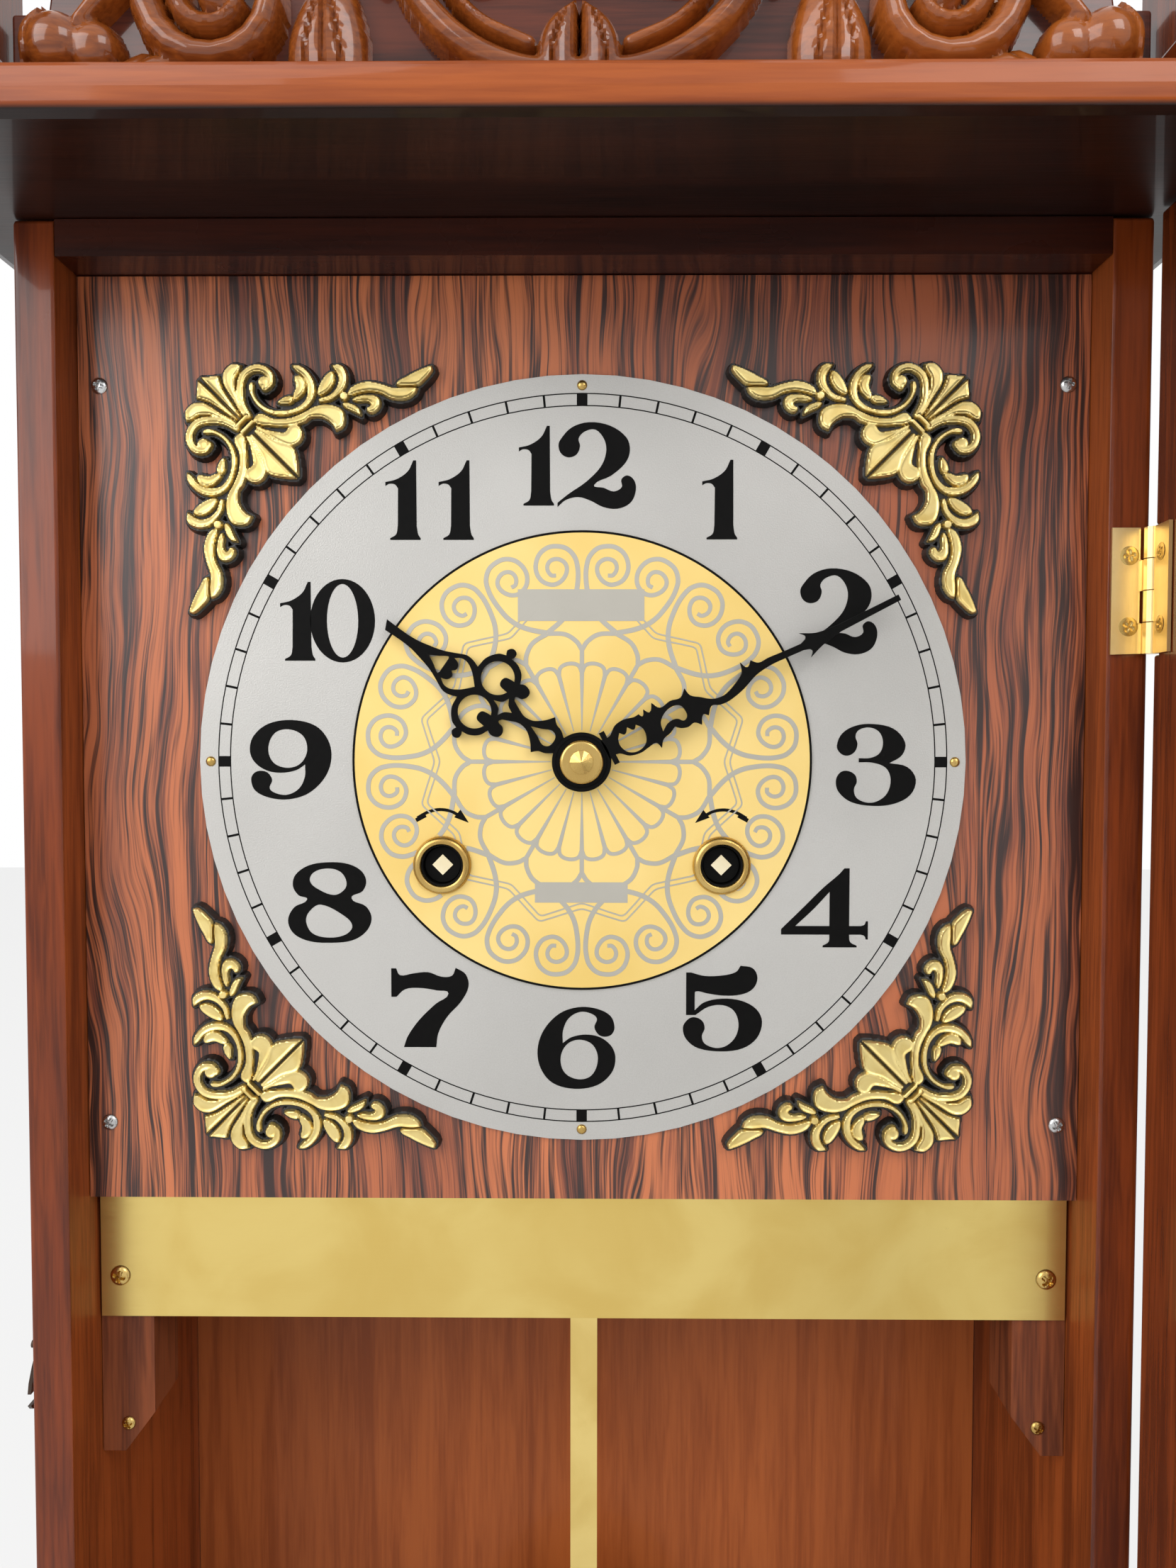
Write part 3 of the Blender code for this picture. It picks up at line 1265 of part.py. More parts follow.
# ---------------------------------------------------------------- door
def build_hinges():
    """Each hinge: a case leaf with the pin, and a door leaf that turns on it. Returns the door leaves."""
    knuckle = HINGE_LENGTH / HINGE_KNUCKLES
    axis = (HALF_WIDTH, HINGE_AXIS_Y)
    plate_end = HALF_WIDTH - HINGE_BARREL - GAP
    leaf_start = HALF_WIDTH - HINGE_LEAF_WIDTH
    door_leaves = []
    for height, middle in (("upper", UPPER_HINGE_Z), ("lower", LOWER_HINGE_Z)):
        low = middle - HINGE_LENGTH / 2
        for owner, first, front in (
            ("case", 0, FRONT - GAP - HINGE_LEAF_THICKNESS),
            ("door", 1, DOOR_INNER + GAP),
        ):
            outline = [(leaf_start, low), (leaf_start, low + HINGE_LENGTH)]
            for k in reversed(range(HINGE_KNUCKLES)):
                top = low + (k + 1) * knuckle
                bottom = low + k * knuckle
                own = k % 2 == first
                edge = HALF_WIDTH - 0.0012 if own else plate_end
                outline += [(edge, top - (GAP if own else 0)), (edge, bottom + (GAP if own else 0))]
            leaf = piece(
                f"hinge_{height}_{owner}_leaf",
                plate("Y", clean(outline), front, front + HINGE_LEAF_THICKNESS),
                BRASS,
            )
            barrels = []
            for k in range(first, HINGE_KNUCKLES, 2):
                bottom = low + k * knuckle + GAP / 2
                top = low + (k + 1) * knuckle - GAP / 2
                if owner == "case":
                    profile = [(0.0, bottom), (HINGE_BARREL, bottom), (HINGE_BARREL, top), (0.0, top)]
                else:
                    bore = HINGE_PIN + 2 * GAP
                    profile = [(bore, bottom), (HINGE_BARREL, bottom), (HINGE_BARREL, top), (bore, top)]
                    profile.append(profile[0])
                barrels.append(turned("Z", axis, profile, 12))
            if owner == "case":
                pin_low = low + 0.0010
                pin_high = low + HINGE_LENGTH - GAP
                pin = [(0.0, pin_low), (HINGE_PIN, pin_low), (HINGE_PIN, pin_high), (0.0, pin_high)]
                barrels.append(turned("Z", axis, pin, 8))
            joined(leaf, barrels)
            if owner == "door":
                bore = circle(HINGE_PIN + 2 * GAP, 12, axis)
                joined(leaf, [plate("Z", bore, low - 0.001, low + HINGE_LENGTH + 0.001)], "DIFFERENCE")
                door_leaves.append(leaf)
    return door_leaves


def clean(outline):
    """The outline without points that repeat or lie on a straight side."""
    kept = []
    count = len(outline)
    for i, point in enumerate(outline):
        before = outline[i - 1]
        after = outline[(i + 1) % count]
        if math.hypot(point[0] - before[0], point[1] - before[1]) < 1e-7:
            continue
        turn = (point[0] - before[0]) * (after[1] - point[1]) - (point[1] - before[1]) * (after[0] - point[0])
        if abs(turn) > 1e-12:
            kept.append(point)
    return kept


def frame_section(outer, inner):
    """The L section of a door member, as (position across it, y)."""
    step = math.copysign(DOOR_REBATE_WIDTH, outer - inner)
    rebate = DOOR_INNER - DOOR_REBATE_DEPTH
    return [
        (outer, DOOR_OUTER),
        (outer, DOOR_INNER),
        (inner + step, DOOR_INNER),
        (inner + step, rebate),
        (inner, rebate),
        (inner, DOOR_OUTER),
    ]


def build_door():
    """The door is laid out shut and then swung about the hinge axis with the leaves that it carries."""
    edge = HALF_WIDTH - GAP
    opening = HALF_WIDTH - DOOR_FRAME_WIDTH
    parts = []
    for name, sign in (("door_stile_latch", -1), ("door_stile_hinge", 1)):
        section = frame_section(sign * edge, sign * opening)
        stile = piece(name, plate("Z", section, DOOR_BOTTOM, DOOR_TOP), LACQUER)
        if sign > 0:
            notches = []
            for middle in (UPPER_HINGE_Z, LOWER_HINGE_Z):
                span = HINGE_LENGTH / 2 + GAP
                across = (HALF_WIDTH - HINGE_BARREL - GAP, HALF_WIDTH + 0.0010)
                deep = (HINGE_AXIS_Y - HINGE_BARREL - GAP, DOOR_INNER + 0.0010)
                notches.append(box(across, deep, (middle - span, middle + span)))
            joined(stile, notches, "DIFFERENCE")
        parts.append(stile)
    for name, outer, inner in (
        ("door_rail_bottom", DOOR_BOTTOM, DOOR_BOTTOM + DOOR_FRAME_WIDTH),
        ("door_rail_top", DOOR_TOP, DOOR_TOP - DOOR_FRAME_WIDTH),
    ):
        section = [(y, z) for z, y in frame_section(outer, inner)]
        parts.append(piece(name, plate("X", section, -opening + GAP, opening - GAP), LACQUER))
    glass_half = opening + DOOR_REBATE_WIDTH - GAP
    glass_y = DOOR_INNER - DOOR_REBATE_DEPTH + GAP
    low = DOOR_BOTTOM + DOOR_FRAME_WIDTH - DOOR_REBATE_WIDTH + GAP
    high = DOOR_TOP - DOOR_FRAME_WIDTH + DOOR_REBATE_WIDTH - GAP
    glass = box((-glass_half, glass_half), (glass_y, glass_y + GLASS_THICKNESS), (low, high))
    parts.append(piece("door_glass", glass, GLASS))

    pin_z = HOOK_Z
    pin_y = HOOK_Y - HOOK_PIN_REACH
    latch_pin = turned(
        "X",
        (pin_y, pin_z),
        [
            (0.0, -edge - 0.0060),
            (0.0022, -edge - 0.0060),
            (0.0022, -edge - 0.0050),
            (0.0012, -edge - 0.0045),
            (0.0012, -edge - GAP),
            (0.0, -edge - GAP),
        ],
        12,
    )
    parts.append(piece("latch_pin", latch_pin, BRASS))
    parts += build_hinges()

    swing = bpy.data.objects.new("door_hinge_axis", None)
    swing.location = (HALF_WIDTH, HINGE_AXIS_Y, 0.0)
    bpy.context.scene.collection.objects.link(swing)
    for part in parts:
        part.data.transform(Matrix.Translation((-HALF_WIDTH, -HINGE_AXIS_Y, 0.0)) @ part.matrix_basis)
        part.matrix_basis = Matrix.Identity(4)
        part.parent = swing
    swing.rotation_euler = (0.0, 0.0, math.radians(DOOR_OPENING))


def build_hook():
    """The bowed leaf that hangs on the left side board. Its notch catches the door's pin when it is swung
    forward."""
    outside = -HALF_WIDTH - GAP
    tip = HOOK_Z - HOOK_LENGTH
    notch = HOOK_Z - HOOK_PIN_REACH
    half = HOOK_WIDTH / 2
    front = HOOK_Y - half
    outline = [
        (HOOK_Y - 0.0020, HOOK_Z + 0.0026),
        (front, HOOK_Z),
        (front, HOOK_Z - 0.0050),
        (front, HOOK_Z - 0.0100),
        (front, notch + 0.0017),
        (HOOK_Y + 0.0010, notch + 0.0017),
        (HOOK_Y + 0.0010, notch - 0.0017),
        (front, notch - 0.0017),
        (front + 0.0010, tip + 0.0010),
        (HOOK_Y, tip),
        (HOOK_Y + half - 0.0005, tip + 0.0015),
        (HOOK_Y + half, notch),
        (HOOK_Y + half, HOOK_Z - 0.0100),
        (HOOK_Y + half, HOOK_Z - 0.0050),
        (HOOK_Y + half, HOOK_Z),
        (HOOK_Y + 0.0020, HOOK_Z + 0.0026),
    ]
    leaf = plate("X", outline, outside - 0.0010, outside)
    bowed = []
    for x, y, z in leaf.points:
        along = max(0.0, (HOOK_Z - z) / HOOK_LENGTH)
        bowed.append((x - HOOK_BOW * math.sin(0.62 * math.pi * along), y, z))
    leaf.points = bowed
    hook = piece("latch_hook", leaf, BRONZE)
    stud = turned(
        "X",
        (HOOK_Y, HOOK_Z),
        [(0.0, outside), (0.0011, outside), (0.0011, outside - 0.0036), (0.0, outside - 0.0036)],
        12,
    )
    joined(hook, [stud])
    shift = (outside, HOOK_Y, HOOK_Z)
    hook.data.transform(Matrix.Translation([-value for value in shift]))
    hook.location = shift


build_case()
build_crest()
build_battens()
build_hanger()
build_dial()
build_ornaments()
build_plates()
build_trains()
build_motion_work()
build_hands()
build_pendulum()
build_anchor()
build_gong()
build_hammer()
build_door()
build_hook()
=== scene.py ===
"""The looks of a pendulum wall clock with an open door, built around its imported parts.

Lengths are in metres in the frame of the parts: the dial's centre is x = 0, z = 0, the wall is y = 0
and the viewer is at -y. Flat artwork on the dial is drawn in millimetres across and up from there.
"""

import math

import bmesh
import bpy
import numpy as np
from mathutils import Matrix, Vector


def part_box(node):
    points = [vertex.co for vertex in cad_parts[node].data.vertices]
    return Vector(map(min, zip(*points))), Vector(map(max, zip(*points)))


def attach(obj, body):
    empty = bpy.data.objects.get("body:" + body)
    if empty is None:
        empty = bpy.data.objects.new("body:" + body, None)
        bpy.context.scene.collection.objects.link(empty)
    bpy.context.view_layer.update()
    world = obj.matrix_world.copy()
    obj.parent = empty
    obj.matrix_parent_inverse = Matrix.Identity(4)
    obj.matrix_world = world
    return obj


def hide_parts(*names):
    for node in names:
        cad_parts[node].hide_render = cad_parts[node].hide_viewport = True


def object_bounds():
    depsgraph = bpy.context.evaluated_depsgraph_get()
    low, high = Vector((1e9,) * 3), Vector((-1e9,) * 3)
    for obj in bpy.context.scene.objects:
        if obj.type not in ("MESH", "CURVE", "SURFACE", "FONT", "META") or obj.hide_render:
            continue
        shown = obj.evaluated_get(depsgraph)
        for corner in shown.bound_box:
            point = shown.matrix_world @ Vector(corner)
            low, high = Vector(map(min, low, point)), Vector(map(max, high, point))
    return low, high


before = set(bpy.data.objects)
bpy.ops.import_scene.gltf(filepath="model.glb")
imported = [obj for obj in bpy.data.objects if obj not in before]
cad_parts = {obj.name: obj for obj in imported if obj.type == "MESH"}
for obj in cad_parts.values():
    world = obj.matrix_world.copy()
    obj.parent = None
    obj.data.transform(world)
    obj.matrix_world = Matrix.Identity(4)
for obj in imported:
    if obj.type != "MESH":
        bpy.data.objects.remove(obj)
parts_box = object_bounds()

MM = 0.001
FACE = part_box("dial")[0].y
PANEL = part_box("dial_panel")[0].y
CENTRE_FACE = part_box("dial_centre_disc")[0].y
LOWEST = parts_box[0][2]
SINK = 0.00004  # how deep a printed or applied piece is set into what carries it


# ---------------------------------------------------------------- paints
class Wire:
    """A node's output. Sums, differences and products of wires add Math nodes."""

    def __init__(self, work, socket):
        self.work = work
        self.socket = socket

    def maths(self, operation, first, second):
        return self.work.node("Math", {"operation": operation}, {0: first, 1: second})

    def __add__(self, other):
        return self.maths("ADD", self, other)

    def __sub__(self, other):
        return self.maths("SUBTRACT", self, other)

    def __rsub__(self, other):
        return self.maths("SUBTRACT", other, self)

    def __mul__(self, other):
        return self.maths("MULTIPLY", self, other)

    __radd__ = __add__
    __rmul__ = __mul__


def tone(red, green, blue):
    """A colour given as it looks on a screen, from 0 to 255, as the light it stands for."""
    shares = [value / 255 for value in (red, green, blue)]
    return [s / 12.92 if s <= 0.04045 else ((s + 0.055) / 1.055) ** 2.4 for s in shares] + [1.0]


class NodeWork:
    """Adds nodes to the tree of a material or of the world, which starts empty."""

    def __init__(self, owner):
        owner.use_nodes = True
        self.tree = owner.node_tree
        self.tree.nodes.clear()

    def node(self, kind, settings=None, sockets=None, out=0):
        """A new node: its settings first, then a value or a wire for each socket named."""
        node = self.tree.nodes.new("ShaderNode" + kind)
        for key, value in (settings or {}).items():
            setattr(node, key, value)
        for key, value in (sockets or {}).items():
            self.feed(node.inputs[key], value)
        return Wire(self, node.outputs[out]) if node.outputs else None

    def feed(self, socket, value):
        if isinstance(value, Wire):
            self.tree.links.new(value.socket, socket)
        else:
            socket.default_value = value

    def rays(self, kind):
        """One where a ray of this kind arrives: Camera, Glossy, Transmission or Shadow."""
        return self.node("LightPath", out=f"Is {kind} Ray")


class Paint(NodeWork):
    """A material under way, round one Principled shader. Steady values are given by socket name."""

    def __init__(self, name, **steady):
        self.made = bpy.data.materials.new(name)
        super().__init__(self.made)
        self.shader = self.tree.nodes.new("ShaderNodeBsdfPrincipled")
        self.output = self.tree.nodes.new("ShaderNodeOutputMaterial")
        self.tree.links.new(self.shader.outputs[0], self.output.inputs[0])
        for socket, value in steady.items():
            self.give(socket.replace("_", " "), value)

    def give(self, socket, value):
        self.feed(self.shader.inputs[socket], value)

    def spot(self, stretch=(1.0, 1.0, 1.0)):
        """The place on the piece, in metres, with each axis stretched."""
        place = self.node("TexCoord", out="Object")
        return self.node("VectorMath", {"operation": "MULTIPLY"}, {0: place, 1: stretch})

    def noise(self, place, scale, detail=2.0, distortion=0.0):
        """Cloudy grain between about 0.3 and 0.7, finer as the scale goes up."""
        sockets = {"Vector": place, "Scale": scale, "Detail": detail, "Distortion": distortion}
        return self.node("TexNoise", {}, sockets)

    def ramp(self, value, low, high, start=0.0, end=1.0):
        """The value taken from low to high onto start to end, and held there beyond them."""
        sockets = {"Value": value, "From Min": low, "From Max": high, "To Min": start, "To Max": end}
        return self.node("MapRange", {"interpolation_type": "SMOOTHSTEP"}, sockets)

    def mix(self, share, one, two):
        """One colour going over to another as the share goes from 0 to 1."""
        sockets = {0: share, 6: one, 7: two}
        return self.node("Mix", {"data_type": "RGBA"}, sockets, out=2)

    def see_instead(self, share, other):
        """Shows another shader in the main one's place, as far as the share says."""
        shader = Wire(self, self.shader.outputs[0])
        blend = self.node("MixShader", {}, {0: share, 1: shader, 2: other})
        self.tree.links.new(blend.socket, self.output.inputs[0])

    def raise_by(self, height, distance, strength=1.0):
        """Lifts the surface by a height; the distance is in metres."""
        sockets = {"Height": height, "Distance": distance, "Strength": strength}
        self.give("Normal", self.node("Bump", {}, sockets))


WHITE = (1.0, 1.0, 1.0, 1.0)
ALONG = {"X": (0.05, 1.0, 1.0), "Y": (1.0, 0.05, 1.0), "Z": (1.0, 1.0, 0.05)}


def facing(paint, axis, start, end):
    """How much of the surface faces the way of an axis: nought below start, one above end."""
    normal = paint.node("NewGeometry", out="Normal")
    along = paint.node("SeparateXYZ", {}, {0: normal}, out=axis)
    return paint.ramp(along, start, end)


def lacquered_wood(name, along, pale, dark, shine=0.2, coat=0.5, figure_scale=70.0, **faces):
    """Stained wood under lacquer: wide bands and fine pores drawn out along the grain.

    Faces turned downward and faces turned to the front can be given their own pale and dark colours as
    painted shade, given as under and front.
    """
    under, front = faces.get("under"), faces.get("front")
    paint = Paint(name, Coat_Roughness=0.05, Specular_IOR_Level=0.22)
    place = paint.spot(ALONG[along])
    figure = paint.noise(place, figure_scale, 4.0, 1.2)
    pores = paint.noise(place, 900.0, 3.0, 0.4)
    broad = paint.noise(paint.spot(), 9.0, 2.0)
    share = paint.ramp(figure * 0.55 + pores * 0.25 + broad * 0.2, 0.38, 0.62)
    stain_and_shade = paint.mix(share, pale, dark)
    if under:
        # painted shade: faces turned downward take the darker under colours
        stain_and_shade = paint.mix(facing(paint, "Z", -0.4, -0.9), stain_and_shade, paint.mix(share, *under))
    wear = paint.noise(paint.spot(), 45.0, 4.0)
    if front:
        ahead = facing(paint, "Y", -0.4, -0.9)
        # painted shade: faces turned to the front take the front colours, darker than the sides
        stain_and_shade = paint.mix(ahead, stain_and_shade, paint.mix(share, *front))
        paint.give("Coat Weight", ahead * (coat - 0.05) + 0.05)
        paint.give("Roughness", wear * 0.18 + (shine + 0.22) - ahead * 0.28)
    else:
        paint.give("Coat Weight", coat)
        paint.give("Roughness", wear * 0.18 + (shine - 0.06))
    paint.give("Base Color", stain_and_shade)
    paint.raise_by(pores * 0.7 + figure * 0.3, 0.00012, 0.35)
    return paint.made


def veined_laminate():
    """Printed laminate: an orange-brown ground with fine dark upright streaks that bow into soft arches."""
    paint = Paint("dark_veined_laminate", Coat_Weight=0.25, Coat_Roughness=0.2)
    sway = paint.noise(paint.spot((1.0, 1.0, 0.35)), 26.0, 2.5)
    lean = paint.node("CombineXYZ", {}, {0: sway * 0.024, 1: 0.0, 2: 0.0})
    bent = paint.node("VectorMath", {"operation": "ADD"}, {0: paint.spot(), 1: lean})
    streaks = paint.node("VectorMath", {"operation": "MULTIPLY"}, {0: bent, 1: (1.0, 1.0, 0.02)})
    wide = paint.noise(streaks, 130.0, 2.0, 0.2)
    veins = paint.noise(streaks, 620.0, 3.0, 0.2)
    fine = paint.noise(streaks, 1700.0, 2.0)
    shade = paint.noise(paint.spot((1.0, 1.0, 0.15)), 14.0, 1.0)
    ground = paint.mix(paint.ramp(shade, 0.35, 0.68), tone(196, 112, 68), tone(162, 86, 52))
    brown = paint.mix(paint.ramp(wide * 0.6 + fine * 0.4, 0.42, 0.62), ground, tone(122, 63, 43))
    dark = paint.mix(paint.ramp(veins * 0.5 + wide * 0.22 + fine * 0.28, 0.46, 0.59), brown, tone(46, 24, 19))
    paint.give("Base Color", dark)
    paint.give("Roughness", paint.ramp(veins, 0.3, 0.7, 0.42, 0.32))
    paint.raise_by(veins, 0.00005, 0.3)
    return paint.made


def satin_metal(name, along, bright, dull, rough=0.28, brush=1600.0, depth=0.00003):
    """Rolled or brushed metal: hair lines one way, and a slow bloom of tarnish."""
    paint = Paint(name, Metallic=1.0)
    hair = paint.noise(paint.spot(ALONG[along]), brush, 2.0)
    bloom = paint.noise(paint.spot(), 28.0, 5.0, 0.6)
    paint.give("Base Color", paint.mix(paint.ramp(bloom, 0.35, 0.7), bright, dull))
    paint.give("Roughness", hair * 0.14 + bloom * 0.16 + (rough - 0.15))
    paint.raise_by(hair, depth, 0.5)
    return paint.made


def pebbled_silver():
    """The dial's silver: fine rolled pebbles under a satin lacquer."""
    paint = Paint("pebbled_silver", Metallic=0.5)
    pebbles = paint.noise(paint.spot(), 2500.0, 1.5)
    cloud = paint.noise(paint.spot(), 14.0, 3.0)
    share = paint.ramp(cloud * 0.7 + pebbles * 0.3, 0.3, 0.7)
    paint.give("Base Color", paint.mix(share, tone(192, 190, 186), tone(180, 178, 174)))
    paint.give("Roughness", pebbles * 0.16 + 0.36)
    paint.raise_by(pebbles, 0.00010, 0.6)
    return paint.made


def gold_ground():
    """The centre disc's pale gold lacquer."""
    paint = Paint("gold_ground", Metallic=0.35)
    pebbles = paint.noise(paint.spot(), 1500.0, 1.5)
    cloud = paint.noise(paint.spot(), 18.0, 3.0)
    share = paint.ramp(cloud, 0.3, 0.7)
    paint.give("Base Color", paint.mix(share, tone(244, 214, 136), tone(232, 198, 112)))
    paint.give("Roughness", pebbles * 0.14 + 0.34)
    paint.raise_by(pebbles, 0.00003, 0.5)
    return paint.made


def printed_silver():
    """The silver ink of the pattern on the gold centre."""
    paint = Paint("printed_silver", Metallic=0.75)
    sheen = paint.noise(paint.spot(), 40.0, 3.0)
    paint.give("Base Color", paint.mix(sheen, tone(194, 190, 180), tone(172, 168, 158)))
    paint.give("Roughness", sheen * 0.15 + 0.28)
    paint.raise_by(paint.noise(paint.spot(), 1500.0), 0.00003, 0.4)
    return paint.made


def black_coat(name, rough, grain_scale, depth):
    """Black ink or lacquer with a faint grain."""
    paint = Paint(name, Specular_IOR_Level=0.08)
    grain = paint.noise(paint.spot(), grain_scale, 3.0)
    paint.give("Base Color", paint.mix(grain, tone(6, 6, 6), tone(14, 13, 12)))
    paint.give("Roughness", grain * 0.2 + (rough - 0.1))
    paint.raise_by(grain, depth, 0.4)
    return paint.made


def gilt_moulding():
    """Moulded plastic gilt on its raised leaves and black in between, as the gilt value on the mesh says."""
    paint = Paint("gilt_moulding", Coat_Weight=0.3, Coat_Roughness=0.12)
    raised = paint.node("Attribute", {"attribute_name": "gilt"}, out="Fac")
    speckle = paint.noise(paint.spot(), 900.0, 3.0)
    gilt = paint.ramp(raised + speckle * 0.04, 0.47, 0.53)
    age = paint.noise(paint.spot(), 160.0, 4.0, 0.5)
    crease_shade = paint.node("Attribute", {"attribute_name": "crease_shade"}, out="Fac")
    gold = paint.mix(paint.ramp(age, 0.35, 0.75), tone(240, 218, 146), tone(222, 194, 116))
    # painted shade: the gold darkens towards a brown near leaf edges, grooves and dished middles, as the
    # crease value says
    gold_with_painted_shade = paint.mix(crease_shade * 0.35, gold, tone(120, 92, 44))
    paint.give("Base Color", paint.mix(gilt, tone(20, 17, 14), gold_with_painted_shade))
    paint.give("Metallic", gilt * 0.92)
    paint.give("Roughness", 0.52 - gilt * 0.2 + age * 0.12)
    paint.raise_by(age * 0.5 + speckle * 0.5, 0.00010, 0.35)
    return paint.made


def clear_glass():
    """Clear window glass that lets the lamps through to what is behind it."""
    paint = Paint("clear_glass", Transmission_Weight=1.0, IOR=1.45, Base_Color=(0.96, 0.98, 0.97, 1.0))
    haze = paint.noise(paint.spot(), 22.0, 4.0)
    paint.give("Roughness", paint.ramp(haze, 0.45, 0.8, 0.0, 0.03))
    paint.see_instead(paint.rays("Shadow"), paint.node("BsdfTransparent"))
    return paint.made


def plain_floor():
    """A pale floor that looks almost white and keeps the clock's shadow."""
    paint = Paint("pale_floor")
    cloud = paint.noise(paint.spot(), 2.0, 2.0)
    paint.give("Base Color", paint.mix(cloud, tone(238, 238, 237), tone(246, 246, 245)))
    paint.give("Roughness", cloud * 0.1 + 0.7)
    white = paint.node("Emission", {}, {"Color": WHITE, "Strength": 1.0})
    seen = paint.rays("Camera") + paint.rays("Glossy") + paint.rays("Transmission")
    paint.see_instead(seen * 0.7, white)
    return paint.made


RED_PALE = tone(160, 80, 34)
RED_DARK = tone(106, 48, 18)
# painted shade: the side boards' front faces get a darker copy of their colour
SIDE_FRONT_SHADE = (tone(128, 56, 20), tone(78, 30, 10))
SIDE_WOOD = lacquered_wood("side_board_lacquer", "Z", RED_PALE, RED_DARK, coat=0.25, front=SIDE_FRONT_SHADE)
POST_WOOD = lacquered_wood("red_brown_lacquer_upright", "Z", tone(140, 66, 28), tone(86, 36, 14))
# painted shade: the top board under the cornice gets a much darker copy of the lacquer, for the cornice's
# shadow
TOP_WOOD_IN_SHADE = lacquered_wood("lacquer_across_painted_shade", "X", tone(62, 24, 12), tone(42, 15, 8), 0.25, 0.3)
CROSS_WOOD = lacquered_wood("red_brown_lacquer_across", "X", tone(104, 46, 26), tone(58, 22, 13))
DEEP_WOOD = lacquered_wood("red_brown_lacquer_inward", "Y", RED_PALE, RED_DARK)
# painted shade: much darker colours for the cornice's downward faces, standing for its shadowed underside
CORNICE_UNDER_SHADE = (tone(46, 20, 12), tone(28, 11, 7))
CORNICE_STAIN = (tone(164, 82, 32), tone(136, 62, 22))
CORNICE_WOOD = lacquered_wood("orange_brown_lacquer", "X", *CORNICE_STAIN, 0.34, 0.2, under=CORNICE_UNDER_SHADE)
CARVED_WOOD = lacquered_wood("carved_lacquer", "X", tone(162, 88, 34), tone(106, 50, 18), 0.2, 0.6, 40.0)
BACK_WOOD = lacquered_wood("plain_brown_wood", "Z", tone(166, 88, 40), tone(138, 68, 28), 0.42, 0.05, 110.0)
BATTEN_WOOD = lacquered_wood("batten_wood", "Z", tone(138, 74, 42), tone(86, 43, 26), 0.5, 0.05, 160.0)
LAMINATE = veined_laminate()
PLATE_BRASS = satin_metal("rolled_brass", "X", tone(226, 200, 122), tone(216, 186, 106), 0.33)
HINGE_BRASS = satin_metal("hinge_brass", "Z", tone(242, 216, 156), tone(222, 192, 128), 0.34)
BRASS = satin_metal("turned_brass", "Z", tone(206, 176, 108), tone(170, 136, 74), 0.26)
BOB_BRASS = satin_metal("bob_brass", "X", tone(226, 192, 112), tone(206, 168, 88), 0.24, 1200.0)
ROD_BRASS = satin_metal("rod_brass", "Z", tone(234, 208, 132), tone(218, 188, 110), 0.36)
PALE_BRASS = satin_metal("pale_brass", "Y", tone(255, 244, 214), tone(236, 220, 180), 0.36)
STEEL = satin_metal("bright_steel", "Y", tone(190, 190, 192), tone(150, 150, 152), 0.28)
SPRING_STEEL = satin_metal("spring_steel", "Y", tone(80, 84, 96), tone(54, 56, 66), 0.30)
ZINC = satin_metal("zinc_plate", "X", tone(205, 205, 205), tone(150, 148, 144), 0.26, 900.0)
BRONZE = satin_metal("dark_bronze", "Z", tone(84, 70, 62), tone(52, 42, 38), 0.40, 700.0)
SILVER = pebbled_silver()
GOLD = gold_ground()
SILVER_PRINT = printed_silver()
BLACK_PRINT = black_coat("black_print", 0.42, 700.0, 0.00002)
HAND_BLACK = black_coat("hand_black", 0.34, 500.0, 0.00004)
# painted shade: a black finish for the inside of the winding holes
HOLE_SHADE_BLACK = black_coat("painted_hole_shade", 0.6, 300.0, 0.00003)
GILT = gilt_moulding()
GLASS = clear_glass()

CARRIED = {
    SIDE_WOOD: "side_board_left side_board_right",
    POST_WOOD: "crest_post_left crest_post_right door_stile_hinge door_stile_latch",
    TOP_WOOD_IN_SHADE: "top_board",
    CROSS_WOOD: "crest_board apron base_moulding",
    DEEP_WOOD: "door_rail_top door_rail_bottom",
    CORNICE_WOOD: "cornice",
    CARVED_WOOD: "crest_carving",
    BACK_WOOD: "back_panel",
    BATTEN_WOOD: "batten_left batten_right",
    LAMINATE: "dial_panel",
    PLATE_BRASS: "movement_seat_plate movement_front_plate movement_back_plate",
    BRASS: "pendulum_bob rating_nut hand_nut winding_grommet_left winding_grommet_right latch_pin "
    "hour_wheel minute_wheel centre_wheel intermediate_wheel third_wheel escape_wheel "
    "time_great_wheel strike_great_wheel",
    HINGE_BRASS: "hinge_upper_case_leaf hinge_upper_door_leaf hinge_lower_case_leaf hinge_lower_door_leaf",
    ROD_BRASS: "pendulum_rod",
    STEEL: "anchor hanger_plate cannon_pinion hammer",
    PALE_BRASS: "time_winding_arbor strike_winding_arbor",
    SPRING_STEEL: "coil_gong time_mainspring strike_mainspring",
    BRONZE: "gong_stand latch_hook",
    SILVER: "dial",
    GOLD: "dial_centre_disc",
    HAND_BLACK: "hour_hand minute_hand",
    GILT: "ornament_upper_left ornament_upper_right ornament_lower_left ornament_lower_right",
    GLASS: "door_glass",
}


def finish_carried_parts():
    """Gives each part of the frame its finish."""
    for paint, names in CARRIED.items():
        for name in names.split():
            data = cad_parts[name].data
            data.materials.clear()
            data.materials.append(paint)


def round_arrises(part, width):
    """Takes the sharp edges off a part, as a maker's plane and sandpaper do."""
    weld = part.modifiers.new("weld", "WELD")
    weld.merge_threshold = 0.01 * MM
    round_over = part.modifiers.new("round_over", "BEVEL")
    round_over.width = width
    round_over.segments = 3
    round_over.limit_method = "ANGLE"
    round_over.angle_limit = math.radians(40)
    round_over.harden_normals = True


def soften_edges(names, width):
    """Rounds the arrises of parts of the frame, named with spaces between."""
    for name in names.split():
        round_arrises(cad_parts[name], width)


